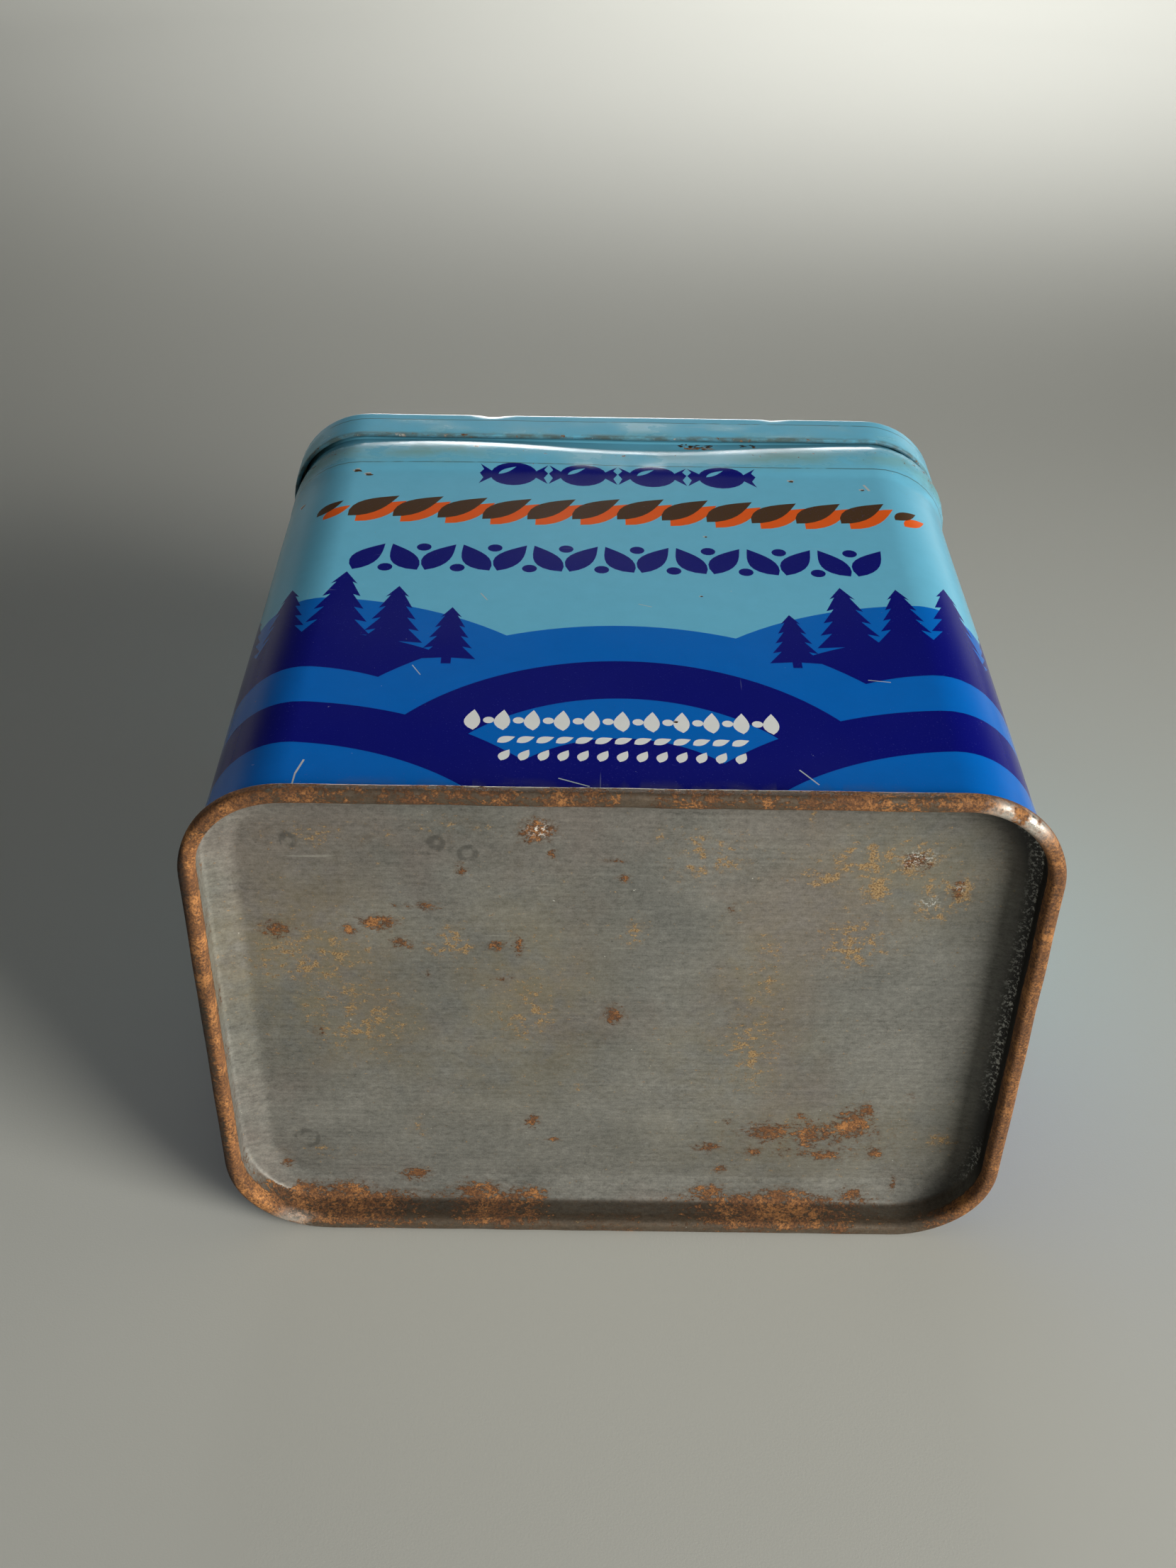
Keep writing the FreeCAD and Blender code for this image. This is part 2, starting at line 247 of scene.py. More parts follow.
def place(along, level, inset, towards_edge, dents):
    """Points of the tin in millimetres. towards_edge shrinks the outline to its centre at 0."""
    x, z, out_x, out_z = OUTLINE.at(along)
    pushed, slid = dents(along, level)
    out = WALL_INSET - inset + pushed
    x = (x + out_x * out) * towards_edge
    z = (z + out_z * out - TIN_DEPTH / 2) * towards_edge + TIN_DEPTH / 2
    return np.stack(np.broadcast_arrays(x, TIN_LOW[1] + level + slid, z), -1)


# ---------------- mesh making


def add_mesh(name, points, faces, materials, slots):
    """A smooth mesh from points in millimetres. A slot is the number of a face's material."""
    mesh = bpy.data.meshes.new(name)
    mesh.from_pydata((np.asarray(points) * MM).tolist(), [], faces)
    for material in materials:
        mesh.materials.append(material)
    mesh.polygons.foreach_set("use_smooth", [True] * len(mesh.polygons))
    mesh.polygons.foreach_set("material_index", np.asarray(slots, int))
    mesh.validate()
    mesh.update()
    thing = bpy.data.objects.new(name, mesh)
    bpy.context.scene.collection.objects.link(thing)
    return thing


def make_piece(name, points, faces, body, node, materials, slots):
    piece = add_mesh(name, points, faces, materials, slots)
    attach(piece, body)
    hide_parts(node)
    return piece


def give_values(piece, name, values):
    """Stores one number for each vertex, which a material then reads by name."""
    layer = piece.data.attributes.new(name, "FLOAT", "POINT")
    layer.data.foreach_set("value", np.asarray(values, np.float32))


def ring_faces(rows, columns, first=0):
    """Quads between rows of points that each go once round."""
    faces = []
    for row in range(rows - 1):
        for column in range(columns):
            following = (column + 1) % columns
            a = first + row * columns + column
            b = first + row * columns + following
            faces.append((a, b, b + columns, a + columns))
    return faces


def revolve(path, towards_edge, dents, along):
    """Carries a section path that begins and ends at the tin's centre line round the outline."""
    levels, insets = path[:, 0][:, None], path[:, 1][:, None]
    grid = place(along[None, :], levels, insets, towards_edge[:, None], dents)
    rows, columns = grid.shape[:2]
    points = grid.reshape(-1, 3).tolist()
    faces = ring_faces(rows, columns)
    for row, ordered in ((0, False), (rows - 1, True)):
        pole = len(points)
        points.append(grid[row].mean(0).tolist())
        for column in range(columns):
            pair = [row * columns + column, row * columns + (column + 1) % columns]
            faces.append((pole, *(pair if ordered else pair[::-1])))
    return np.array(points), faces


def filled_middle(level, inset, spacing):
    """The flat middle of a panel, from the centre line out to an inset."""
    count = round((TIN_DEPTH / 2 - inset) / spacing)
    shares = np.linspace(0, 1, count + 1)[1:]
    path = np.stack([np.full(count, level), np.full(count, float(inset))], 1)
    return path, shares


def panel_path(sections, middle_spacing):
    """Joins one face's middle, the path round its edge and the other face's middle."""
    outer, edge, inner = sections
    first, first_shares = filled_middle(*outer, middle_spacing)
    last, last_shares = filled_middle(*inner, middle_spacing)
    path = np.concatenate([first, edge, last[::-1]])
    shares = np.concatenate([first_shares, np.ones(len(edge)), last_shares[::-1]])
    return path, shares


# ---------------- the printed picture


# Inks and bare metal as linear colours. PALE is the edge of a chip.
SKY, MID, NAVY, BROWN, ORANGE, WHITE, PALE, BARE = range(8)
INKS = {
    SKY: (0.165, 0.540, 0.745),
    MID: (0.001, 0.150, 0.590),
    NAVY: (0.003, 0.005, 0.190),
    BROWN: (0.075, 0.036, 0.014),
    ORANGE: (0.900, 0.125, 0.010),
    WHITE: (0.880, 0.890, 0.860),
    PALE: (0.520, 0.560, 0.560),
    BARE: (0.330, 0.320, 0.270),
}

# The levels between which the print is drawn, before it is cut off at the wall's edges.
PRINT_FLOOR, PRINT_TOP = -8.0, 140.0
BAND_WIDTH = 10.6
HILL_RADIUS = 53.0
CORNER_CREST, MIDDLE_CREST, LOW_CREST = 56.5, 48.5, 25.5
FIR_SPACING = 9.4
FIR_HEIGHTS = (14.0, 18.5, 16.0, 19.5, 17.0, 15.0)
FIR_TIERS = 5
SEAM_MARGIN = 4.4
SEAM_LINE = 0.3
# The levels of the ornament's rows, from the top down.
SWEETS, ROPE, GARLAND, BUDS, UPPER_SEEDS, LOWER_SEEDS = 102.0, 88.6, 70.4, 21.1, 16.0, 12.1


def hill(centre, crest, radius):
    """A round hill's outline, from its crest down to below the print."""
    middle = crest - radius
    start = math.asin(max(0.0, PRINT_FLOOR - middle) / radius)
    angles = np.linspace(start, math.pi - start, 64)
    top = [(centre + radius * math.cos(a), middle + radius * math.sin(a)) for a in angles]
    return [(top[0][0], PRINT_FLOOR)] + top + [(top[-1][0], PRINT_FLOOR)]


def fir(across, apex, foot, half_width):
    """A fir tree as stacked skirts of branches over a short trunk."""
    right = [(0.0, apex)]
    step = (apex - foot) / FIR_TIERS
    for tier in range(1, FIR_TIERS + 1):
        low = apex - step * tier
        width = half_width * (0.22 + 0.78 * tier / FIR_TIERS)
        right.append((width, low))
        right.append((width * 0.60, low + step * 0.16))
    trunk = half_width * 0.17
    right[-1] = (trunk, foot + step * 0.12)
    right.append((trunk, foot - step * 0.42))
    left = [(-x, y) for x, y in right[:0:-1]]
    return [(across + x, y) for x, y in right + left]


def leaf(across, level, length, width, turn):
    """A pointed leaf, for garlands."""
    shares = np.linspace(0, 1, 9)
    upper = [(length * (s - 0.5), width * math.sin(math.pi * s ** 0.8) / 2) for s in shares]
    lower = [(x, -y * 0.7) for x, y in upper[-2:0:-1]]
    c, s = math.cos(turn), math.sin(turn)
    return [(across + c * x - s * y, level + s * x + c * y) for x, y in upper + lower]


def disc(across, level, radius, count=14):
    angles = np.linspace(0, math.tau, count, endpoint=False)
    return [(across + radius * math.cos(a), level + radius * math.sin(a)) for a in angles]


def bar(first, last, width):
    """A thin straight stroke."""
    a, b = np.array(first), np.array(last)
    along = unit(b - a)
    side = np.array([-along[1], along[0]]) * width / 2
    return [tuple(p) for p in (a - side, b - side, b + side, a + side)]


def row(centre, count, pitch):
    """Evenly spaced places about a centre."""
    return [centre + (index - (count - 1) / 2) * pitch for index in range(count)]


def rope(first, last, level, spacing, width, sway):
    """A twisted rope of slanted strands, smaller at both ends."""
    shapes = []
    count = round((last - first) / spacing)
    for index in range(count + 1):
        across = first + (last - first) * index / count
        taper = 0.55 if index in (0, count) else 1.0
        lift = level + sway * math.sin(index * 1.1)
        shapes.append(leaf(across, lift, spacing * 1.45 * taper, width * taper, 0.74))
    return shapes


def wrapped_sweet(across, level, size):
    """A round sweet in a twisted wrapper, with a glint on it."""
    shapes = [(NAVY, disc(across, level, size * 0.35, 24))]
    for side in (-1, 1):
        inner, outer = across + side * size * 0.29, across + side * size * 0.51
        notch = outer - side * size * 0.06
        fan = [(outer, -0.30), (notch, -0.11), (outer, 0.04), (notch, 0.15), (outer, 0.30)]
        knot = [(inner, level + size * 0.06), (inner, level - size * 0.06)]
        shapes.append((NAVY, knot + [(x, level + size * high) for x, high in fan]))
    glint = leaf(across - size * 0.10, level + size * 0.12, size * 0.34, size * 0.11, 0.7)
    return shapes + [(SKY, glint)]


def banded_hill(centre, crest, inks):
    """A round hill in bands of the given inks, from the crest down."""
    shapes = []
    for band, ink in enumerate(inks):
        drop = BAND_WIDTH * band
        shapes.append((ink, hill(centre, crest - drop, HILL_RADIUS - drop)))
    return shapes


def fir_row(centre, crest):
    """Firs at even steps over a hill, each with its foot on the crest's curve."""
    shapes = []
    radius = HILL_RADIUS - BAND_WIDTH
    for off, height in zip(row(0, len(FIR_HEIGHTS), FIR_SPACING), FIR_HEIGHTS):
        foot = crest - radius + math.sqrt(radius ** 2 - off ** 2)
        shapes.append((NAVY, fir(centre + off, foot + height, foot - 0.9, height * 0.31)))
    return shapes


def landscape():
    """The print's shapes in the order in which they are laid down, as (ink, outline)."""
    seam = OUTLINE.half_girth
    girth = 2 * seam
    step = girth / 8
    corners = [-step, step, 3 * step, 5 * step]
    middles = [0.0, 2 * step, 4 * step, 6 * step]
    shapes = []
    for centre in corners:
        shapes += banded_hill(centre, CORNER_CREST, (MID, NAVY, MID))
    for centre in middles:
        shapes += banded_hill(centre, MIDDLE_CREST, (MID, NAVY, MID, NAVY))
    for centre in corners:
        shapes += banded_hill(centre, LOW_CREST, (NAVY, MID, NAVY))
    for centre in corners:
        shapes += fir_row(centre, CORNER_CREST - BAND_WIDTH)
    for panel in (0.0, seam):
        shapes += ornament(panel)
    shapes += damage()
    # The side seam: an unprinted margin with a dark line where the sheet's edge lies over it.
    for ink, across, width in ((BARE, seam, SEAM_MARGIN), (BROWN, seam + 0.9, SEAM_LINE)):
        shapes.append((ink, bar((across, PRINT_FLOOR), (across, PRINT_TOP), width)))
    copies = []
    for ink, outline in shapes:
        copies += [(ink, [(x + shift, y) for x, y in outline]) for shift in (-girth, 0.0, girth)]
    return copies


def ornament(centre):
    """Generic sweets, a rope and sprigs, where a maker would put lettering."""
    shapes = []
    upright = math.pi / 2
    for across in row(centre, 4, 13.0):
        shapes += wrapped_sweet(across, SWEETS, 12.6)
    strands = rope(centre - 52.5, centre + 52.5, ROPE, 8.1, 5.7, 0.3)
    shapes += [(ORANGE, [(x + 1.5, y - 2.0) for x, y in strand]) for strand in strands]
    shapes += [(BROWN, strand) for strand in strands]
    # A garland of leaves that lean in turn left and right, with berries between them.
    for index, across in enumerate(row(centre, 15, 6.2)):
        lean = 0.50 if index % 2 else -0.50
        shapes.append((NAVY, leaf(across, GARLAND, 10.2, 5.4, upright + lean)))
    for index, across in enumerate(row(centre, 14, 6.2)):
        shapes.append((NAVY, disc(across, GARLAND - 3.6 + 7.0 * (index % 2), 1.3)))
    # White buds, beads and two rows of seeds.
    shapes += [(WHITE, leaf(across, BUDS, 5.4, 2.9, upright)) for across in row(centre, 11, 4.5)]
    shapes += [(WHITE, disc(across, BUDS - 0.1, 0.85)) for across in row(centre, 10, 4.5)]
    for across in row(centre, 13, 2.9):
        shapes.append((WHITE, leaf(across, UPPER_SEEDS, 3.0, 1.9, 0.5)))
        shapes.append((WHITE, leaf(across, LOWER_SEEDS, 3.0, 1.9, upright - 0.4)))
    return shapes


# Scratches on the front: both ends, in across and level, and the width.
SCRATCHES = (
    ((-46.6, 10.4), (-47.4, 6.8), 0.30),
    ((-47.4, 6.8), (-47.5, 3.0), 0.24),
    ((-9.5, 6.5), (-5.0, 4.6), 0.20),
    ((25.5, 9.5), (28.0, 5.8), 0.22),
    ((-23.4, 58.4), (-22.2, 56.2), 0.20),
    ((3.0, 55.5), (5.2, 54.6), 0.14),
    ((-33.0, 36.0), (-31.5, 33.2), 0.16),
    ((38.5, 33.5), (42.0, 33.0), 0.16),
    ((46.0, 100.2), (46.8, 97.8), 0.45),
)
# Chips on the front: across, level and radius.
CHIPS = (
    (-48.8, 102.6, 1.1),
    (-46.6, 101.2, 1.0),
    (32.5, 101.0, 0.8),
    (45.6, 98.0, 0.6),
    (15.4, 79.0, 0.5),
    (13.6, 58.3, 0.4),
    (-59.5, 95.0, 1.1),
    (-27.0, 112.0, 0.7),
    (8.0, 21.2, 0.5),
)
# Where brown scrapes lie just below the lid, across the front.
SCRAPE_LEVEL = 116.9
SCRAPES = (12.0, 13.6, 15.4, 17.2, 18.6, 24.8, 26.2)


def chip(across, level, radius, source):
    """A ragged patch, a little wider than it is high."""
    angles = np.linspace(0, math.tau, 11, endpoint=False)
    reach = radius * source.uniform(0.45, 1.15, len(angles))
    x, y = across + reach * np.cos(angles), level + reach * 0.7 * np.sin(angles)
    return list(zip(x.tolist(), y.tolist()))


def damage():
    """Scratches and chips in the front's print, and brown scrapes below its lid."""
    source = np.random.default_rng(3)
    shapes = [(PALE, bar(first, last, width)) for first, last, width in SCRATCHES]
    for across, level, radius in CHIPS:
        shapes.append((PALE, chip(across - 0.2 * radius, level + 0.25 * radius, radius, source)))
        shapes.append((BROWN, chip(across, level, radius * 0.8, source)))
    for across in SCRAPES:
        for _ in range(3):
            spot = (across + source.uniform(-0.9, 0.9), SCRAPE_LEVEL + source.uniform(-0.7, 0.9))
            shapes.append((BROWN, chip(*spot, source.uniform(0.3, 0.7), source)))
    return shapes


def anticlockwise(outline):
    """The same outline, turned the way that the cutter of the wall needs."""
    x, y = np.array(outline).T
    area = np.sum(x * np.roll(y, -1) - np.roll(x, -1) * y)
    return outline if area > 0 else outline[::-1]


def paint_wall(along_lines, levels_along):
    """Cuts the unrolled wall along every printed edge. Returns its points, triangles and inks."""
    points = [(x, level) for level in levels_along for x in along_lines]
    edges, faces = [], []
    columns = len(along_lines)
    for here in range(len(points)):
        if (here + 1) % columns:
            edges.append((here, here + 1))
        if here + columns < len(points):
            edges.append((here, here + columns))
    shapes = []
    for ink, outline in landscape():
        across = [x for x, _ in outline]
        if min(across) < along_lines[-1] and max(across) > along_lines[0]:
            shapes.append((ink, outline))
    for _, outline in shapes:
        first = len(points)
        points += anticlockwise(outline)
        faces.append(list(range(first, first + len(outline))))
    flat = [Vector(p) for p in points]
    out_points, _, triangles, _, _, sources = delaunay_2d_cdt(flat, edges, faces, 0, 1e-5, True)
    out_points = np.array([tuple(p) for p in out_points])
    triangles = np.array(triangles)
    centres = out_points[triangles].mean(1)
    lowest, highest = (along_lines[0], levels_along[0]), (along_lines[-1], levels_along[-1])
    inside = np.all((centres > lowest) & (centres < highest), axis=1)
    # The shape that was laid down last shows.
    inks = np.array([shapes[max(s)][0] if s else SKY for s in sources])
    kept = triangles[inside]
    used, renumbered = np.unique(kept, return_inverse=True)
    return out_points[used], renumbered.reshape(kept.shape), inks[inside]


# ---------------- material building


class Nodes:
    """A short way to write a material's node tree."""

    def __init__(self, name):
        self.material = bpy.data.materials.new(name)
        self.material.use_nodes = True
        self.tree = self.material.node_tree
        self.tree.nodes.clear()
        self.output = self.tree.nodes.new("ShaderNodeOutputMaterial")
        self.shader = self.tree.nodes.new("ShaderNodeBsdfPrincipled")
        self.tree.links.new(self.shader.outputs[0], self.output.inputs[0])
        self.place = self.new("ShaderNodeTexCoord").outputs["Object"]

    def new(self, kind, **settings):
        node = self.tree.nodes.new(kind)
        for name, value in settings.items():
            setattr(node, name, value)
        return node

    def feed(self, socket, value):
        if isinstance(value, bpy.types.NodeSocket):
            self.tree.links.new(value, socket)
        elif socket.type == "RGBA":
            socket.default_value = (*value, 1)
        else:
            socket.default_value = value

    def math(self, operation, first, second=0.0):
        node = self.new("ShaderNodeMath", operation=operation)
        self.feed(node.inputs[0], first)
        self.feed(node.inputs[1], second)
        return node.outputs[0]

    def times(self, first, second):
        return self.math("MULTIPLY", first, second)

    def plus(self, first, second):
        return self.math("ADD", first, second)

    def value(self, name):
        return self.new("ShaderNodeAttribute", attribute_name=name).outputs["Fac"]

    def colour(self, name):
        return self.new("ShaderNodeAttribute", attribute_name=name).outputs["Color"]

    def axis(self, letter):
        node = self.new("ShaderNodeSeparateXYZ")
        self.feed(node.inputs[0], self.place)
        return node.outputs["XYZ".index(letter)]

    def stretched(self, scale):
        node = self.new("ShaderNodeMapping")
        self.feed(node.inputs["Vector"], self.place)
        node.inputs["Scale"].default_value = scale
        return node.outputs[0]

    def noise(self, scale, detail=3.0, roughness=0.55, stretch=None, seed=0.0):
        """Noise whose scale is the number of blobs in a metre."""
        node = self.new("ShaderNodeTexNoise", noise_dimensions="4D")
        self.feed(node.inputs["Vector"], self.stretched(stretch) if stretch else self.place)
        node.inputs["W"].default_value = seed
        node.inputs["Scale"].default_value = scale
        node.inputs["Detail"].default_value = detail
        node.inputs["Roughness"].default_value = roughness
        return node.outputs[0]

    def ramp(self, value, start, end):
        """Goes smoothly from 0 at start to 1 at end, whichever of them is larger."""
        node = self.new("ShaderNodeMapRange", interpolation_type="SMOOTHSTEP")
        self.feed(node.inputs["Value"], value)
        rising = float(start < end)
        limits = (min(start, end), max(start, end), 1 - rising, rising)
        for name, limit in zip(("From Min", "From Max", "To Min", "To Max"), limits):
            node.inputs[name].default_value = limit
        return node.outputs[0]

    def blend(self, amount, first, second, kind="MIX"):
        node = self.new("ShaderNodeMix", data_type="RGBA", blend_type=kind)
        self.feed(node.inputs[0], amount)
        self.feed(node.inputs[6], first)
        self.feed(node.inputs[7], second)
        return node.outputs[2]

    def tint(self, colour, where, strength, second):
        """Blends a second colour over the first, where a value says and at most at a strength."""
        return self.blend(self.times(where, strength), colour, second)

    def shaded(self, colour, value):
        """Multiplies a colour by a number."""
        node = self.new("ShaderNodeCombineColor")
        for socket in node.inputs:
            self.feed(socket, value)
        return self.blend(1.0, colour, node.outputs[0], "MULTIPLY")

    def choose(self, amount, first, second):
        node = self.new("ShaderNodeMix", data_type="FLOAT")
        self.feed(node.inputs[0], amount)
        self.feed(node.inputs[2], first)
        self.feed(node.inputs[3], second)
        return node.outputs[0]

    def finish(self, colour, roughness, metallic, height, depth, specular=0.5):
        """Feeds the shader. height is in the range 0 to 1 and depth is what it stands for."""
        self.feed(self.shader.inputs["Base Color"], colour)
        self.feed(self.shader.inputs["Roughness"], roughness)
        self.feed(self.shader.inputs["Metallic"], metallic)
        self.shader.inputs["Specular IOR Level"].default_value = specular
        node = self.new("ShaderNodeBump")
        node.inputs["Distance"].default_value = depth
        self.feed(node.inputs["Height"], height)
        self.feed(self.shader.inputs["Normal"], node.outputs[0])
        return self.material


def rust_colour(n, seed=0.0):
    """Granular rust, from dark brown through red brown to orange."""
    dark, red, orange = (0.060, 0.028, 0.014), (0.200, 0.082, 0.026), (0.450, 0.195, 0.058)
    grains = n.noise(2600, 4, 0.7, seed=seed)
    patches = n.noise(260, 4, 0.6, seed=seed + 3)
    first = n.blend(n.ramp(grains, 0.30, 0.62), dark, red)
    lighter = n.plus(n.times(grains, 0.5), n.times(patches, 0.6))
    return n.blend(n.ramp(lighter, 0.52, 0.70), first, orange)


def print_material(name):
    """Litho ink over tinplate: print grain, thin scratches, tape residue, grime, chips and a
    painted shadow under the lid.
    """
    n = Nodes(name)
    # The dark inks are laid as a fine screen, so pale grains show through.
    pale_grain = (0.110, 0.130, 0.480)
    grain = n.times(n.ramp(n.noise(3600, 2, 0.5), 0.62, 0.74), n.value("dark_ink"))
    colour = n.tint(n.colour("ink"), grain, 0.26, pale_grain)
    mottle = n.noise(340, 4, 0.6, seed=4)
    colour = n.shaded(colour, n.plus(n.times(mottle, 0.12), 0.94))
    # Adhesive residue: a yellow-green film, dirt caught in it, and a line along each edge.
    residue, grime = (0.200, 0.310, 0.170), (0.095, 0.085, 0.040)
    shadow_black, tape_line = (0.010, 0.009, 0.008), (0.055, 0.065, 0.035)
    smears = n.ramp(n.noise(95, 5, 0.65, (0.5, 1.0, 1.0), 9), 0.40, 0.62)
    film = n.times(n.value("tape"), smears)
    colour = n.tint(colour, film, 0.42, residue)
    streaks = n.ramp(n.noise(300, 5, 0.7, (0.5, 1.0, 1.0), 2), 0.34, 0.60)
    dirt = n.times(n.value("dirt"), streaks)
    colour = n.tint(colour, dirt, 0.80, grime)
    # Painted shadow: near black where the wall runs in under the lid, and on the lid's hem above
    # it.
    colour = n.blend(n.value("shadow_black"), colour, shadow_black)
    for level in TAPE_LEVELS:
        colour = n.blend(tape_edge(n, level), colour, tape_line)
    # Chips and specks where the ink is gone, and rust in them.
    tinplate = (0.34, 0.33, 0.30)
    worn = n.plus(n.noise(700, 4, 0.65, seed=6), n.times(n.value("wear"), 0.34))
    chips = n.ramp(worn, 0.735, 0.765)
    rusty = n.ramp(n.noise(300, 3, seed=8), 0.40, 0.52)
    colour = n.blend(chips, colour, n.blend(rusty, tinplate, rust_colour(n)))
    # Dust specks, and fine scratches in two directions.
    dust_grey, scratch_grey = (0.62, 0.66, 0.66), (0.60, 0.66, 0.70)
    dust = n.ramp(n.noise(1350, 2, 0.5, seed=17), 0.765, 0.790)
    colour = n.tint(colour, dust, 0.55, dust_grey)
    across = n.ramp(n.noise(900, 2, 0.5, (0.05, 1.0, 1.0), 1), 0.740, 0.775)
    lengthways = n.ramp(n.noise(1000, 2, 0.5, (1.0, 0.04, 1.0), 5), 0.750, 0.785)
    colour = n.tint(colour, n.math("MAXIMUM", across, lengthways), 0.22, scratch_grey)
    smear = n.noise(26, 4, 0.6, seed=12)
    roughness = n.plus(n.times(smear, 0.13), 0.10)
    roughness = n.plus(roughness, n.times(n.math("MAXIMUM", film, dirt), 0.30))
    roughness = n.choose(chips, roughness, 0.7)
    height = n.times(n.noise(900, 3, 0.5, seed=3), 0.16)
    height = n.math("SUBTRACT", height, n.times(chips, 0.8))
    height = n.plus(height, n.times(dirt, 0.5))
    return n.finish(colour, roughness, 0.0, height, 0.00005, specular=0.22)


def tape_edge(n, level):
    """The thin dirty line, broken here and there, where a strip of tape used to end."""
    wobble = n.times(n.noise(60, 3, 0.6, seed=level), 0.0005)
    line = (TIN_LOW[1] + level) * MM + 0.00025
    off = n.math("ABSOLUTE", n.math("SUBTRACT", n.plus(n.axis("Y"), wobble), line))
    kept = n.ramp(n.noise(110, 3, 0.6, seed=level + 1), 0.36, 0.46)
    return n.times(n.times(n.ramp(off, 0.00022, 0.00005), kept), 0.72)


def dry_ring(n, across, up, radius):
    """The dark edge left on the base by a drop that dried there."""
    distance = n.new("ShaderNodeVectorMath", operation="DISTANCE")
    n.feed(distance.inputs[0], n.place)
    distance.inputs[1].default_value = (across * MM, (TIN_LOW[1] + PANEL_LEVEL) * MM, up * MM)
    uneven = n.times(n.noise(260, 3, 0.6, seed=radius), 0.0024)
    reach = n.plus(distance.outputs["Value"], uneven)
    off = n.math("ABSOLUTE", n.math("SUBTRACT", reach, radius * MM + 0.0012))
    kept = n.ramp(n.noise(330, 3, 0.6, seed=radius + 2), 0.36, 0.50)
    return n.times(n.ramp(off, 0.00070, 0.00022), kept)


def base_material(name):
    """Unprinted tinplate: dull, with rolling grain across it, stains and rust where they are."""
    n = Nodes(name)
    cool_grey, pale_grey = (0.153, 0.153, 0.136), (0.208, 0.203, 0.178)
    warm_grey, burnished = (0.176, 0.148, 0.128), (0.120, 0.105, 0.084)
    bronze = (0.125, 0.096, 0.068)
    cloud = n.noise(42, 5, 0.62, seed=7)
    warm = n.ramp(n.noise(27, 4, 0.6, seed=31), 0.46, 0.62)
    bare = n.value("bare")
    metal = n.blend(n.ramp(cloud, 0.34, 0.66), cool_grey, pale_grey)
    metal = n.tint(metal, warm, 0.55, warm_grey)
    metal = n.blend(bare, metal, burnished)
    metal = n.blend(n.value("bronze"), metal, bronze)
    # Rolling lines across the sheet, its grain, and mottling, all about a mean brightness of 1.
    rolled = n.noise(260, 4, 0.6, (0.10, 1.0, 8.0), 2)
    grain = n.noise(3400, 3, 0.6, seed=4)
    speckle = n.noise(1350, 4, 0.7, (0.6, 1.0, 1.0), 27)
    mottle = n.noise(105, 7, 0.76, (0.6, 1.0, 1.0), 33)
    tone = n.plus(n.times(rolled, 0.66), n.times(grain, 0.90))
    tone = n.plus(tone, n.times(speckle, 1.55))
    tone = n.plus(tone, mottle)
    metal = n.shaded(metal, n.math("SUBTRACT", tone, 1.07))
    # A yellow-brown bloom, which breaks up into small flecks.
    haze_brown, dull_ochre = (0.205, 0.168, 0.085), (0.185, 0.120, 0.055)
    dark_straw, straw = (0.150, 0.080, 0.028), (0.450, 0.290, 0.125)
    haze = n.times(n.value("stain"), n.ramp(n.noise(150, 6, 0.70, seed=8), 0.32, 0.60))
    metal = n.tint(metal, haze, 0.80, haze_brown)
    broken = n.ramp(n.noise(330, 4, 0.66, seed=41), 0.40, 0.58)
    ochre = n.times(n.value("ochre"), broken)
    metal = n.tint(metal, ochre, 0.30, dull_ochre)
    flecks = n.plus(n.noise(1050, 7, 0.80, (0.7, 1.0, 1.0), 15), n.times(haze, 0.11))
    flecks = n.ramp(n.plus(flecks, n.times(ochre, 0.21)), 0.610, 0.665)
    fleck_colour = n.blend(n.ramp(grain, 0.38, 0.58), dark_straw, straw)
    metal = n.tint(metal, flecks, 0.85, fleck_colour)
    # Dried drops, dark and pale specks, and fine scratches.
    for ring in DRY_RINGS:
        metal = n.tint(metal, dry_ring(n, *ring), 0.55, (0.052, 0.050, 0.044))
    dark_speck = n.ramp(n.noise(1500, 2, 0.5, seed=5), 0.725, 0.765)
    metal = n.tint(metal, dark_speck, 0.6, (0.06, 0.052, 0.042))
    pale_speck = n.ramp(n.noise(1250, 2, 0.5, seed=19), 0.755, 0.785)
    metal = n.tint(metal, pale_speck, 0.8, (0.58, 0.57, 0.50))
    scratch = n.ramp(n.noise(900, 2, 0.5, (0.06, 1.0, 1.0), 21), 0.70, 0.76)
    metal = n.tint(metal, scratch, 0.34, (0.42, 0.41, 0.35))
    # Rust breaks out in clusters of fine flakes, each cluster with a brown halo.
    halo_brown, shadow_black = (0.130, 0.078, 0.042), (0.010, 0.009, 0.008)
    flakes = n.noise(1250, 7, 0.80, (0.7, 1.0, 1.0), 9)
    patchy = n.plus(n.times(flakes, 1.3), n.times(n.value("rust"), 0.55))
    rusty = n.ramp(patchy, 0.985, 1.045)
    metal = n.tint(metal, n.ramp(patchy, 0.82, 1.02), 0.50, halo_brown)
    # Painted shadow: near black on the right-hand countersink wall, where the bead shades it.
    metal = n.blend(n.value("bead_shadow"), metal, shadow_black)
    colour = n.blend(rusty, metal, rust_colour(n, 2))
    # Pale crusts, painted light and shade on the folds, and worn corners with a painted highlight.
    crust, worn_highlight = (0.85, 0.85, 0.78), (0.80, 0.76, 0.68)
    scuff = n.times(n.value("scuff"), n.ramp(n.noise(1700, 5, 0.75, seed=23), 0.52, 0.57))
    colour = n.blend(scuff, colour, crust)
    colour = n.shaded(colour, n.value("painted_light_and_shade"))
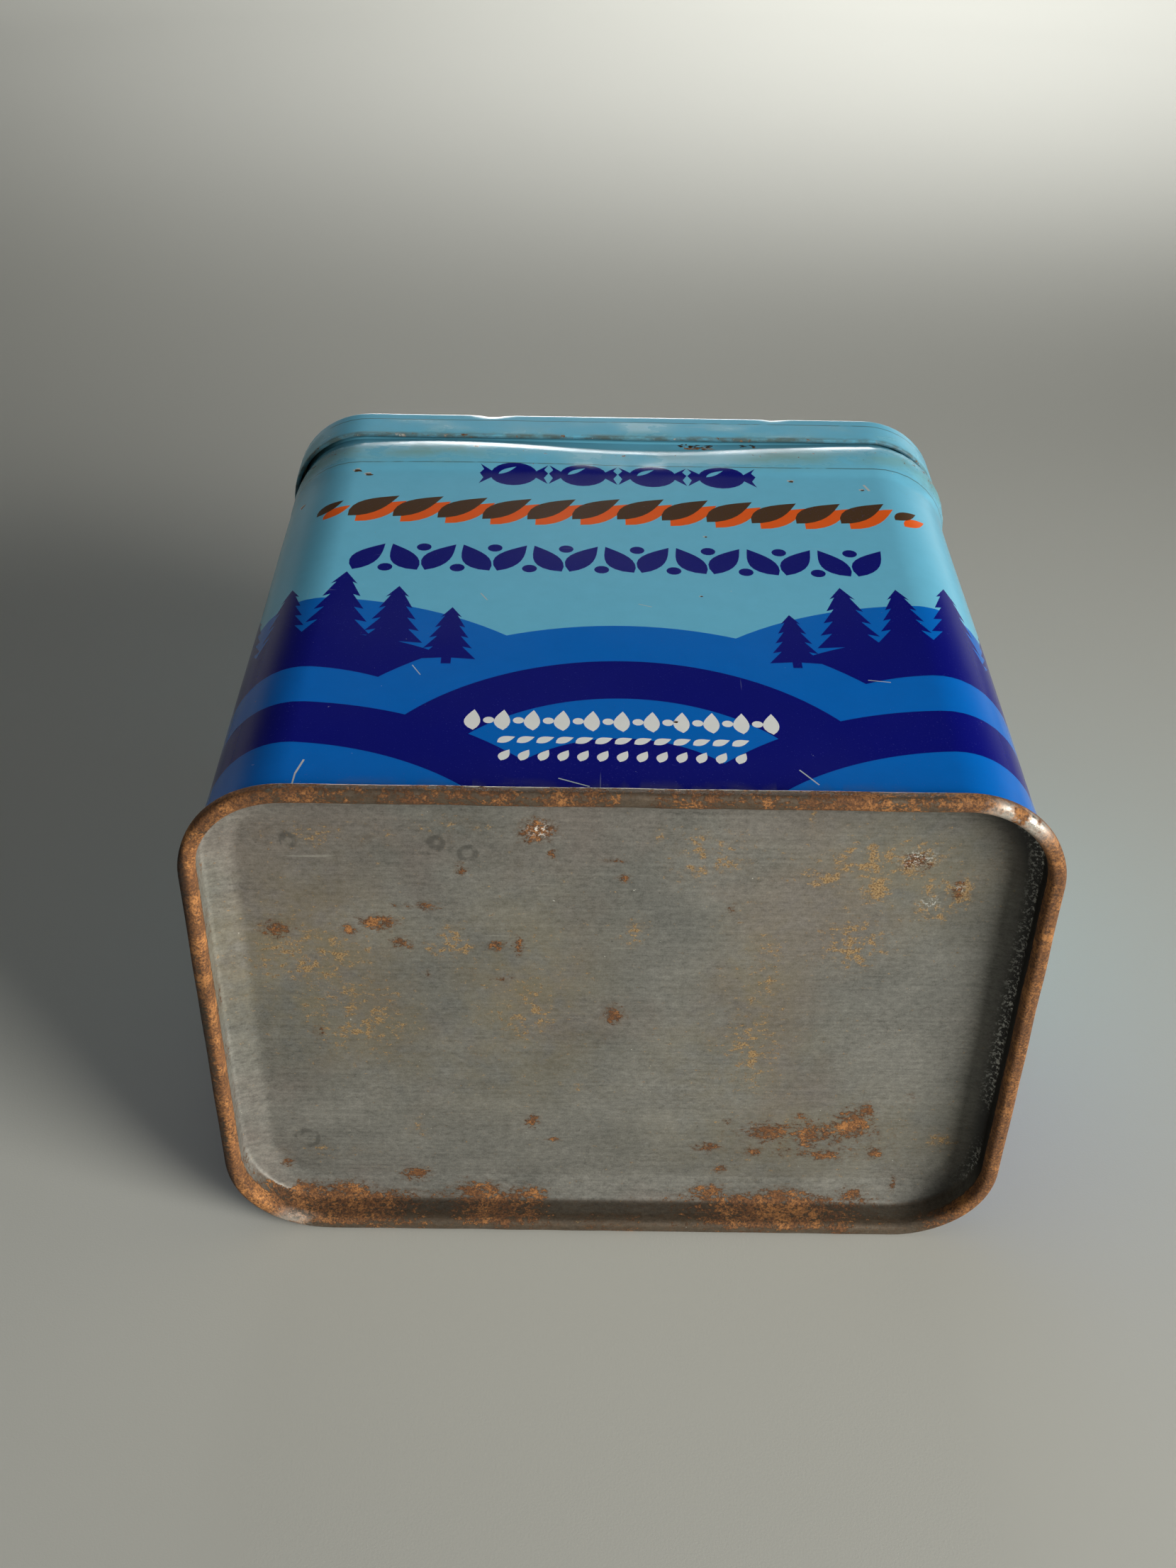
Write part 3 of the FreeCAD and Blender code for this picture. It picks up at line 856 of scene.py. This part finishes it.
    # Painted highlight on the bead's worn corners: pale, smooth and fully metallic.
    wear_and_highlight = n.times(n.value("worn"), n.ramp(n.noise(260, 4, 0.6, seed=13), 0.40, 0.52))
    colour = n.blend(wear_and_highlight, colour, worn_highlight)
    roughness = n.choose(rusty, n.plus(n.times(cloud, 0.22), 0.42), 0.85)
    roughness = n.choose(wear_and_highlight, roughness, 0.22)
    metallic = n.choose(rusty, n.plus(n.times(bare, 0.55), 0.20), 0.0)
    metallic = n.choose(scuff, metallic, 0.0)
    metallic = n.choose(wear_and_highlight, metallic, 1.0)
    height = n.times(rusty, n.noise(1900, 4, 0.7, seed=1))
    height = n.plus(height, n.times(grain, 0.20))
    return n.finish(colour, roughness, metallic, height, 0.00014)


def inside_material(name):
    """The tin's unprinted inside, with a thin yellowed lacquer."""
    n = Nodes(name)
    grain = n.noise(160, 4, 0.6, (1.0, 0.15, 1.0), 2)
    cloud = n.noise(45, 5, 0.6, seed=3)
    colour = n.blend(n.ramp(grain, 0.3, 0.7), (0.34, 0.30, 0.21), (0.46, 0.42, 0.31))
    spotty = n.plus(n.noise(520, 4, 0.7, seed=6), n.times(cloud, 0.25))
    rusty = n.ramp(spotty, 0.74, 0.80)
    colour = n.blend(rusty, colour, rust_colour(n, 5))
    roughness = n.choose(rusty, n.plus(n.times(cloud, 0.2), 0.28), 0.85)
    return n.finish(colour, roughness, n.choose(rusty, 0.8, 0.0), grain, 0.00004)


def paper_material(name):
    """The matt paper sweep under and behind the tin, with painted shade: it turns dark where it
    stands up.
    """
    n = Nodes(name)
    pale_paper, shaded_paper = (0.50, 0.50, 0.455), (0.075, 0.075, 0.072)
    tone = n.plus(n.times(n.noise(9, 3, 0.5, seed=2), 0.03), 0.985)
    colour = n.shaded(pale_paper, tone)
    # Painted shade: the paper darkens as it rises, for the dim room behind the tin.
    colour = n.blend(n.ramp(n.axis("Z"), 0.12, 0.55), colour, shaded_paper)
    fibre = n.noise(2600, 3, 0.6)
    return n.finish(colour, 0.75, 0.0, fibre, 0.00002)


# ---------------- the pieces


def body_path():
    """The wall's outer face, from its edge in the seam up to the hem of its neck."""
    return rounded_path(
        [
            (WALL_START, WALL_INSET),
            (FLARE[0], WALL_INSET, FLARE[1]),
            (SHOULDER[0], 0.0, SHOULDER[1]),
            (NECK[0], NECK_INSET, NECK[1]),
            (NECK_HEM_LEVEL, NECK_INSET),
        ],
        6.0,
    )


def build_body(printed, inside):
    """The printed wall: its outer face cut along the print, its hem and its inner face."""
    path = body_path()
    lengths = np.concatenate([[0], np.cumsum(np.linalg.norm(np.diff(path, axis=0), axis=1))])
    runs = lengths + WALL_START
    along_lines = OUTLINE.steps(2.4)
    flat, triangles, inks = paint_wall(along_lines, runs)

    def wall_point(along, run):
        level = np.interp(run, runs, path[:, 0])
        inset = np.interp(run, runs, path[:, 1])
        return place(along, level, inset, 1.0, wall_dents)

    points = wall_point(flat[:, 0], flat[:, 1])
    step = 0.05
    across = wall_point(flat[:, 0] + step, flat[:, 1]) - wall_point(flat[:, 0] - step, flat[:, 1])
    up = wall_point(flat[:, 0], flat[:, 1] + step) - wall_point(flat[:, 0], flat[:, 1] - step)
    normals = np.cross(across, up)
    faces = [tuple(t) for t in triangles.tolist()]

    # The neck's hem and the bare inner face, which come back down to the sheet's lower edge.
    hem = arc((NECK_HEM_LEVEL, NECK_INSET + NECK_HEM), NECK_HEM, 0, 235, 12)
    inner = (path - path_normals(path) * GAUGE)[::-1]
    inner = inner[inner[:, 0] < NECK_HEM_LEVEL - 0.6]
    back = np.concatenate([hem, [[NECK_HEM_LEVEL - 0.55, NECK_INSET + GAUGE]], inner])
    columns = len(along_lines) - 1
    grid = place(along_lines[None, :-1], back[:, 0][:, None], back[:, 1][:, None], 1.0, wall_dents)
    first = len(points)
    points = np.concatenate([points, grid.reshape(-1, 3)])
    faces += ring_faces(len(back), columns, first)
    slots = [0] * len(triangles) + [1] * (columns * (len(back) - 1))
    down, round_tin = np.gradient(grid, axis=0), np.roll(grid, -1, 1) - np.roll(grid, 1, 1)
    normals = np.concatenate([normals, np.cross(round_tin, down).reshape(-1, 3)])

    # The sheet's lower edge, hidden in the seam.
    low = [i for i in np.argsort(flat[:, 0]) if abs(flat[i, 1] - runs[0]) < 1e-4]
    last_row = first + (len(back) - 1) * columns
    column_of = np.clip(np.searchsorted(along_lines, flat[low, 0] + 1e-6) - 1, 0, columns)
    for here, there, column, next_column in zip(low, low[1:], column_of, column_of[1:]):
        near, far = last_row + column % columns, last_row + next_column % columns
        faces.append((here, near, there) if near == far else (here, near, far, there))
        slots.append(1)

    body = make_piece("body_sheet", points, faces, "tin", "body", [printed, inside], slots)
    mesh = body.data
    ink_of_face = np.array([INKS[i] + (1.0,) for i in inks])
    colours = np.ones((len(mesh.loops), 4))
    darks = np.zeros(len(mesh.loops))
    colours[: len(triangles) * 3] = np.repeat(ink_of_face, 3, 0)
    darks[: len(triangles) * 3] = np.repeat(np.isin(inks, (NAVY, MID, BROWN)), 3)
    layer = mesh.attributes.new("ink", "FLOAT_COLOR", "CORNER")
    layer.data.foreach_set("color", colours.ravel())
    layer = mesh.attributes.new("dark_ink", "FLOAT", "CORNER")
    layer.data.foreach_set("value", darks)
    give_wall_marks(body, flat, len(points), runs, path)
    normals /= np.maximum(np.linalg.norm(normals, axis=1), 1e-12)[:, None]
    mesh.normals_split_custom_set_from_vertices(normals.tolist())
    return body


def give_wall_marks(body, flat, count, runs, path):
    """Where the wall carries tape residue, dirt and wear, and where a shadow is painted under the
    lid.
    """
    along = np.zeros(count)
    level = np.zeros(count)
    along[: len(flat)] = flat[:, 0]
    level[: len(flat)] = np.interp(flat[:, 1], runs, path[:, 0])
    ends = ease(np.abs(along), 30, 55)
    film = ease(level, 105.4, 106.2) * ease(level, 117, 113)
    smears = (bump(along, -34, 9) + bump(along, 31, 8)) * bump(level, 110.0, 2.6)
    give_values(body, "tape", np.clip(film * (0.45 + 0.55 * ends) + smears, 0, 1.6))
    crest = bump(level, 112.5, 1.6) * 0.45 * ease(waves(along, 0 * along, 41, 30), 0.2, 0.7)
    # Darker along the foot of the wall, just above the bead.
    low = ease(level, 2.9, 2.5) * 0.6
    corners = bump(np.abs(along), 62, 9) * ease(level, 96, 108) * 0.35
    give_values(body, "dirt", np.clip(crest + low + corners, 0, 1))
    # Painted shadow: near black on the neck where it runs in under the lid.
    give_values(body, "shadow_black", ease(level, 117.6, 118.6) * 0.9)
    crest = bump(level, 111.5, 2.0) * 0.30
    scuffs = bump(level, 115.8, 1.2) * (bump(along, 16, 4.5) + 0.8 * bump(along, 26, 1.6))
    give_values(body, "wear", np.clip(crest + scuffs + 0.03 + corners * 0.5, 0, 1))


def build_base(bare):
    """The base: panel, dish, countersink wall, seam bead with its slot, and the inner face."""
    panel_inset = DISH_INSET + PANEL_RING
    visible = rounded_path(
        [
            (PANEL_LEVEL, panel_inset),
            (PANEL_LEVEL, DISH_INSET, 2.5),
            (FOOT_LEVEL, CHUCK_INSET, 1.0),
            (0.0, CHUCK_INSET, RIM_CROWN),
            (0.0, 0.0, RIM_CROWN),
            (RIM_HEIGHT, 0.0, 0.8),
            (RIM_HEIGHT, SLOT[0]),
            (SLOT_END, SLOT[0]),
            (SLOT_END, SLOT[1]),
            (FOOT_LEVEL + 0.2, SLOT[1], 1.3),
            (PANEL_LEVEL + GAUGE, DISH_INSET, 2.2),
            (PANEL_LEVEL + GAUGE, panel_inset),
        ],
        0.9,
    )
    edge = visible[1:-1]
    path, shares = panel_path(
        ((PANEL_LEVEL, panel_inset), edge, (PANEL_LEVEL + GAUGE, panel_inset)), 0.8
    )
    along = OUTLINE.steps(1.0)[:-1]
    points, faces = revolve(path, shares, rim_dents, along)
    slots = [0] * len(faces)
    base = make_piece("base_plate", points, faces, "tin", "base", [bare], slots)
    give_base_marks(base, points[:, 0], points[:, 2], points[:, 1] - TIN_LOW[1])
    return base


# Marks on the base: X, Z, half width, half height and strength.
RUST_SPOTS = (
    (-12.5, 83.5, 2.4, 2.2, 0.9),
    (-10.5, 79.0, 0.7, 0.9, 0.8),
    (-24.0, 76.0, 0.8, 1.3, 0.8),
    (0.5, 74.5, 1.1, 0.7, 0.8),
    (-1.0, 78.0, 1.7, 0.5, 0.7),
    (-53.0, 63.5, 2.3, 1.5, 0.85),
    (-37.0, 65.0, 2.9, 1.4, 0.85),
    (-34.0, 68.5, 2.1, 0.6, 0.7),
    (-29.5, 68.5, 2.1, 0.8, 0.75),
    (-41.5, 63.5, 1.1, 1.2, 0.8),
    (-33.5, 61.0, 1.8, 1.2, 0.8),
    (-19.0, 60.5, 1.5, 1.0, 0.85),
    (-15.5, 60.5, 0.9, 1.8, 0.85),
    (-30.0, 54.5, 0.7, 0.6, 0.8),
    (-18.0, 53.5, 1.5, 0.6, 0.7),
    (-0.5, 46.0, 1.7, 1.9, 0.85),
    (-48.0, 41.5, 0.9, 1.1, 0.8),
    (-13.5, 21.0, 1.1, 1.4, 0.85),
    (-10.0, 16.5, 1.4, 0.6, 0.8),
    (-55.5, 10.0, 1.1, 1.0, 0.8),
    (17.0, 69.0, 0.7, 1.1, 0.7),
    (44.0, 78.5, 2.4, 1.8, 0.8),
    (51.0, 73.0, 1.0, 2.3, 0.8),
    (34.0, 19.0, 11.0, 2.8, 0.70),
    (36.0, 14.5, 12.0, 2.6, 0.52),
    (27.0, 19.0, 4.4, 2.3, 0.84),
    (33.5, 18.0, 2.0, 2.9, 0.86),
    (40.5, 21.0, 3.2, 3.3, 0.90),
    (42.5, 25.0, 0.9, 1.4, 1.0),
    (31.5, 23.0, 1.2, 0.7, 0.9),
    (24.0, 14.0, 1.6, 1.0, 0.85),
    (36.5, 13.5, 3.2, 1.2, 0.85),
    (45.0, 14.0, 1.2, 1.4, 0.85),
    (16.5, 15.0, 2.2, 1.2, 0.8),
    (19.5, 21.5, 0.9, 0.7, 0.8),
    (19.0, 9.5, 1.2, 1.0, 0.8),
    (49.5, 28.0, 0.6, 1.4, 0.8),
    (49.0, 6.5, 0.5, 1.5, 0.8),
    (-46.0, 2.8, 14.0, 1.5, 0.84),
    (-20.0, 2.8, 8.0, 1.4, 0.80),
    (28.0, 2.8, 15.0, 1.4, 0.84),
    (-53.0, 3.8, 4.0, 1.8, 0.85),
    (-45.5, 4.2, 4.2, 1.6, 0.80),
    (-33.5, 7.5, 2.2, 1.4, 0.9),
    (-23.0, 4.0, 4.2, 2.0, 0.86),
    (-14.0, 3.5, 3.2, 1.6, 0.85),
    (17.0, 4.2, 3.4, 1.7, 0.82),
    (29.5, 3.8, 4.6, 1.6, 0.85),
    (42.0, 4.0, 2.4, 1.4, 0.85),
)
OCHRE_SPOTS = (
    (-26.0, 61.0, 2.5, 2.4, 0.9),
    (-13.5, 44.5, 1.7, 2.6, 1),
    (-13.0, 50.0, 0.9, 1.0, 0.9),
    (-32.5, 19.0, 1.2, 1.8, 0.6),
    (-6.0, 29.0, 0.9, 0.7, 0.8),
    (-48.0, 57.5, 4.4, 4.0, 0.6),
    (-41.5, 44.5, 4.5, 5.3, 0.6),
    (-44.0, 82.0, 8.3, 1.8, 0.5),
    (-25.0, 84.0, 4.1, 1.8, 0.5),
    (-49.0, 13.0, 4.8, 1.0, 0.6),
    (13.0, 78.5, 3.8, 3.5, 0.9),
    (2.5, 63.5, 1.4, 1.9, 0.8),
    (30.5, 75.0, 2.5, 1.1, 0.9),
    (36.0, 79.0, 2.8, 3.1, 0.9),
    (39.0, 73.0, 1.8, 1.7, 1),
    (43.5, 79.0, 2.8, 2.0, 1),
    (51.0, 72.5, 1.6, 2.6, 1),
    (47.5, 70.0, 1.6, 1.9, 1),
    (49.5, 68.0, 1.4, 0.8, 0.9),
    (37.0, 62.0, 3.5, 3.4, 0.95),
    (23.5, 57.0, 1.1, 4.0, 0.7),
    (22.0, 39.0, 3.8, 6.5, 0.6),
    (5.5, 83.0, 0.5, 1.3, 0.8),
    (28.0, 86.0, 0.5, 1.3, 0.8),
    (55.5, 17.5, 2.8, 1.4, 0.7),
    (46.5, 74.5, 0.5, 2.8, 0.9),
)
STAIN_SPOTS = (
    (-49.0, 57.0, 10.0, 11.0, 0.75),
    (-14.5, 49.0, 8.0, 14.0, 0.60),
    (22.0, 52.0, 5.0, 12.0, 0.55),
    (20.0, 38.0, 9.0, 9.0, 0.45),
    (-20.0, 36.0, 14.0, 8.0, 0.35),
    (42.0, 76.0, 12.0, 8.0, 0.45),
    (32.0, 18.0, 16.0, 7.0, 0.45),
    (-40.0, 42.0, 12.0, 7.0, 0.45),
)
CRUST_SPOTS = (
    (-12.3, 83.6, 1.0, 0.8, 1.0),
    (44.2, 79.0, 1.3, 0.9, 1.0),
    (47.0, 70.5, 0.8, 0.6, 0.8),
    (51.2, 73.6, 0.5, 0.5, 0.8),
)
# Drops that dried on the base: X, Z and radius.
DRY_RINGS = ((-51.5, 16.0, 1.6), (-49.5, 81.0, 1.1), (-27.5, 81.0, 1.1), (-23.0, 79.0, 1.2))


def spots(x, z, table):
    """The strongest of a table's soft round marks at each point."""
    total = np.zeros_like(x)
    for across, up, half_width, half_height, strength in table:
        away = ((x - across) / half_width) ** 2 + ((z - up) / half_height) ** 2
        total = np.maximum(total, strength * np.exp(-away * 0.45))
    return total


def give_base_marks(base, x, z, level):
    """Where the base is rusty, stained, scuffed and worn bright, and where light and shade are
    painted on it.
    """
    outside = level < PANEL_LEVEL + 0.15
    crown = ease(level, 2.6, 1.9)
    wall = ease(level, 0.8, 1.3) * ease(level, 5.5, 4.9)
    band = ease(level, 4.9, 5.3) * ease(level, 6.58, 6.3)
    left, right = ease(-x, 50, 58), ease(x, 50, 58)
    low, high = ease(z, 12, 4), ease(z, 86, 92)
    # The bead is evenly brown on the right and patchy elsewhere, with the lowest part least rusty.
    patches = 0.60 + 0.20 * waves(x, z, 31, 11)
    inner_left = left * ease(x, -63.9, -63.1)
    bead = patches + 0.42 * right + 0.16 * left + 0.25 * inner_left
    bead += 0.16 * high * ease(np.abs(x + 6), 20, 38) - 0.14 * low
    countersink = low * 0.36 + left * (0.40 + 0.20 * waves(0 * x, z, 33, 14))
    rust = np.maximum(0.97 * spots(x, z, RUST_SPOTS), np.maximum(crown * bead, wall * countersink))
    give_values(base, "rust", np.where(outside, rust, 0.1))
    give_values(base, "ochre", np.where(level > 5.0, spots(x, z, OCHRE_SPOTS), 0) * outside)
    metal = np.maximum(wall * (0.8 * low + 0.5 * high), 0.55 * crown)
    give_values(base, "bare", metal * outside)
    give_values(base, "bronze", np.clip(crown + wall * low * 0.4, 0, 1) * outside)
    # Painted shadow of the bead: near black on the right-hand countersink wall, reaching further
    # onto the dish near the top.
    spread = 0.45 * ease(z, 72, 84)
    bead_shadow_zone = ease(level, 0.8, 1.2) * (1 - ease(level, 5.35 + spread, 6.1 + spread))
    bead_shadow_zone *= ease(x, 47, 56) * ease(z, 7, 16)
    give_values(base, "bead_shadow", bead_shadow_zone * outside)
    give_values(base, "stain", np.where(outside, spots(x, z, STAIN_SPOTS), 0.2))
    foot = ease(level, 4.5, 5.0) * ease(level, 5.9, 5.5)
    reach = ease(z, 24, 34) * (1 - 0.4 * ease(z, 50, 60)) + 0.6 * bump(z, 14, 4)
    reach += 0.6 * ease(z, 76, 82)
    crusts = spots(x, z, CRUST_SPOTS) * (level > 6.0)
    scuff = np.maximum(foot * ease(x, 48, 57) * np.clip(reach, 0, 1), crusts)
    give_values(base, "scuff", scuff * outside)
    # Painted light and shade on the folds: the left bead darker on its outer side and lighter on
    # its inner side, the left dish band and wall lighter, and the right dish band and the wall
    # along the bottom darker.
    outer_bead_shade = crown * left * (0.52 + 0.30 * waves(x, z, 35, 16)) * (1 - 0.85 * inner_left)
    painted_light_and_shade = 1 + 0.24 * band * left + 0.12 * wall * left * (1 - low) - np.clip(outer_bead_shade, 0, 0.7)
    painted_light_and_shade -= 0.18 * wall * low + 0.35 * band * right
    painted_light_and_shade += crown * inner_left * np.clip(0.30 + 0.45 * waves(x, z, 37, 9), 0, 0.9)
    give_values(base, "painted_light_and_shade", painted_light_and_shade)
    # Worn corners of the bead, painted as bright highlights.
    corner_right = bump(x, 57.0, 4.5) * bump(z, 92.0, 3.0)
    corner_left = bump(x, -55.5, 3.2) * bump(z, 2.2, 1.6)
    worn_highlight = (corner_right + 0.55 * corner_left) * ease(level, 1.5, 0.9)
    give_values(base, "worn", np.clip(worn_highlight * 1.3, 0, 1))


def build_lid(printed, inside):
    """The lid: raised panel, border, skirt with its curled hem, and the inner face."""
    panel_inset = LID_BORDER + LID_STEP_RUN + PANEL_RING
    top = TIN_LENGTH
    skirt = rounded_path(
        [
            (top, panel_inset),
            (top, LID_BORDER + LID_STEP_RUN, STEP_BEND),
            (LID_BORDER_LEVEL, LID_BORDER, STEP_BEND),
            (LID_BORDER_LEVEL, LID_INSET, LID_EDGE_BEND),
            (LID_HEM_LEVEL, LID_INSET),
        ],
        1.0,
    )
    outward = path_normals(skirt)
    hem = arc((LID_HEM_LEVEL, LID_INSET + LID_HEM), LID_HEM, 0, -180, 9)[1:]
    inner = (skirt + outward * GAUGE)[::-1]
    inner = inner[inner[:, 0] > LID_HEM_LEVEL + 0.5]
    edge = np.concatenate([skirt[1:], hem, inner[:-1]])
    path, shares = panel_path(((top, panel_inset), edge, (top - GAUGE, panel_inset)), 1.6)
    along = OUTLINE.steps(1.8)[:-1]
    points, faces = revolve(path, shares, lid_dents, along)
    faces = [face[::-1] for face in faces]
    columns = len(along)
    printed_rows = len(path) - len(inner) - 1 - round(len(shares[shares < 1]) / 2)
    printed_faces = printed_rows * columns
    inside_faces = len(faces) - 2 * columns - printed_faces
    slots = [0] * printed_faces + [1] * inside_faces + [0] * columns + [1] * columns
    lid = make_piece("lid_sheet", points, faces, "lid", "lid", [printed, inside], slots)
    count = len(points)
    layer = lid.data.attributes.new("ink", "FLOAT_COLOR", "POINT")
    layer.data.foreach_set("color", np.tile(INKS[SKY] + (1.0,), (count, 1)).ravel())
    give_values(lid, "dark_ink", np.zeros(count))
    level = points[:, 1] - TIN_LOW[1]
    skirt_zone = ease(level, 126.2, 125.8)
    give_values(lid, "tape", ease(level, 123.5, 122.8) * skirt_zone * 0.6)
    rim = ease(level, 118.3, 117.0)
    give_values(lid, "dirt", np.clip(rim, 0, 1))
    # Painted shadow: dark on the underside of the lid's hem, over the gap.
    give_values(lid, "shadow_black", ease(level, 117.05, 116.8) * 0.5)
    edge_wear = bump(level, 126.0, 0.5) * 0.36 + bump(level, 126.9, 0.4) * 0.22
    give_values(lid, "wear", np.clip(edge_wear + rim * 0.36 + 0.02, 0, 1))
    return lid


# ---------------- floor, light and camera


def build_sweep():
    """Pale paper that lies flat round the tin and curves up far out on every side."""
    flat, bend, height, sides = 800, 500, 1400, 96
    line = [(share * flat, 0.0) for share in (0.25, 0.5, 1.0)]
    for turn in np.linspace(0, math.pi / 2, 17)[1:]:
        line.append((flat + bend * math.sin(turn), bend - bend * math.cos(turn)))
    line.append((flat + bend, height))
    points = [(0.0, 0.0, 0.0)]
    for radius, z in line:
        for side in range(sides):
            turn = math.tau * side / sides
            points.append((radius * math.cos(turn), radius * math.sin(turn), z))
    faces = [(0, 1 + side, 1 + (side + 1) % sides) for side in range(sides)]
    faces += [face[::-1] for face in ring_faces(len(line), sides, first=1)]
    slots = [0] * len(faces)
    add_mesh("paper_sweep", points, faces, [paper_material("paper")], slots)


def add_light(name, at, towards, size, power, colour, spread):
    lamp = bpy.data.lights.new(name, "AREA")
    lamp.shape = "RECTANGLE"
    lamp.size, lamp.size_y = size
    lamp.energy = power
    lamp.color = colour
    lamp.spread = math.radians(spread)
    light = bpy.data.objects.new(name, lamp)
    light.location = at
    light.rotation_mode = "QUATERNION"
    light.rotation_quaternion = (Vector(towards) - Vector(at)).to_track_quat("-Z", "Y")
    light.visible_camera = False
    bpy.context.scene.collection.objects.link(light)


WARM, PLAIN, COOL = (1.0, 0.985, 0.94), (1.0, 1.0, 1.0), (0.95, 0.98, 1.0)
# A window to the right of the camera, a low one far behind, the room's ceiling and a glow on the
# backdrop: name, place, target (metres), size, watts, colour and spread (degrees).
LIGHTS = (
    ("window", (0.75, -0.60, 0.3775), (0, 0, 0.04), (0.55, 0.50), 3.55, WARM, 84),
    ("far_window", (0.0, 1.05, 0.26), (0, 0.06, 0.16), (0.56, 0.34), 0.24, PLAIN, 26),
    ("ceiling", (-0.2, -0.2, 1.3), (0, 0, 0), (1.0, 1.0), 1.6, COOL, 180),
    ("backdrop_glow", (0.35, 0.42, 0.80), (0.14, 1.00, 0.05), (0.35, 0.25), 3.6, PLAIN, 84),
)
ROOM_BRIGHTNESS = 0.05


def build_light():
    for light in LIGHTS:
        add_light(*light)
    world = bpy.data.worlds.new("room")
    world.use_nodes = True
    background = world.node_tree.nodes["Background"]
    background.inputs["Color"].default_value = (*COOL, 1)
    background.inputs["Strength"].default_value = ROOM_BRIGHTNESS
    bpy.context.scene.world = world


# The photograph's viewpoint, in metres and degrees: in front of the base, looking down on the tin.
CAMERA_PLACE = (-0.00675, -0.25796, 0.2425)
CAMERA_TILT, CAMERA_YAW, CAMERA_ROLL = 36.81, -0.437, 1.086
SENSOR_WIDTH, FOCAL_LENGTH = 36.0, 39.95


def build_camera():
    lens = bpy.data.cameras.new("camera")
    lens.sensor_fit = "AUTO"
    lens.sensor_width = SENSOR_WIDTH
    lens.lens = FOCAL_LENGTH
    tilt, yaw, roll = (math.radians(a) for a in (CAMERA_TILT, CAMERA_YAW, CAMERA_ROLL))
    sideways = Vector((math.cos(yaw), math.sin(yaw), 0))
    ahead = Vector((-math.sin(yaw), math.cos(yaw), 0))
    forward = ahead * math.cos(tilt) - Vector((0, 0, math.sin(tilt)))
    upward = ahead * math.sin(tilt) + Vector((0, 0, math.cos(tilt)))
    right = sideways * math.cos(roll) + upward * math.sin(roll)
    up = upward * math.cos(roll) - sideways * math.sin(roll)
    camera = bpy.data.objects.new("camera", lens)
    turned = Matrix((right, up, -forward)).transposed().to_4x4()
    camera.matrix_world = Matrix.Translation(CAMERA_PLACE) @ turned
    bpy.context.scene.collection.objects.link(camera)
    bpy.context.scene.camera = camera


def main():
    printed = print_material("litho_print")
    inside = inside_material("lacquered_inside")
    build_body(printed, inside)
    build_base(base_material("bare_tinplate"))
    build_lid(printed, inside)
    build_sweep()
    build_light()
    build_camera()
    bpy.context.scene.view_settings.view_transform = "Standard"


main()
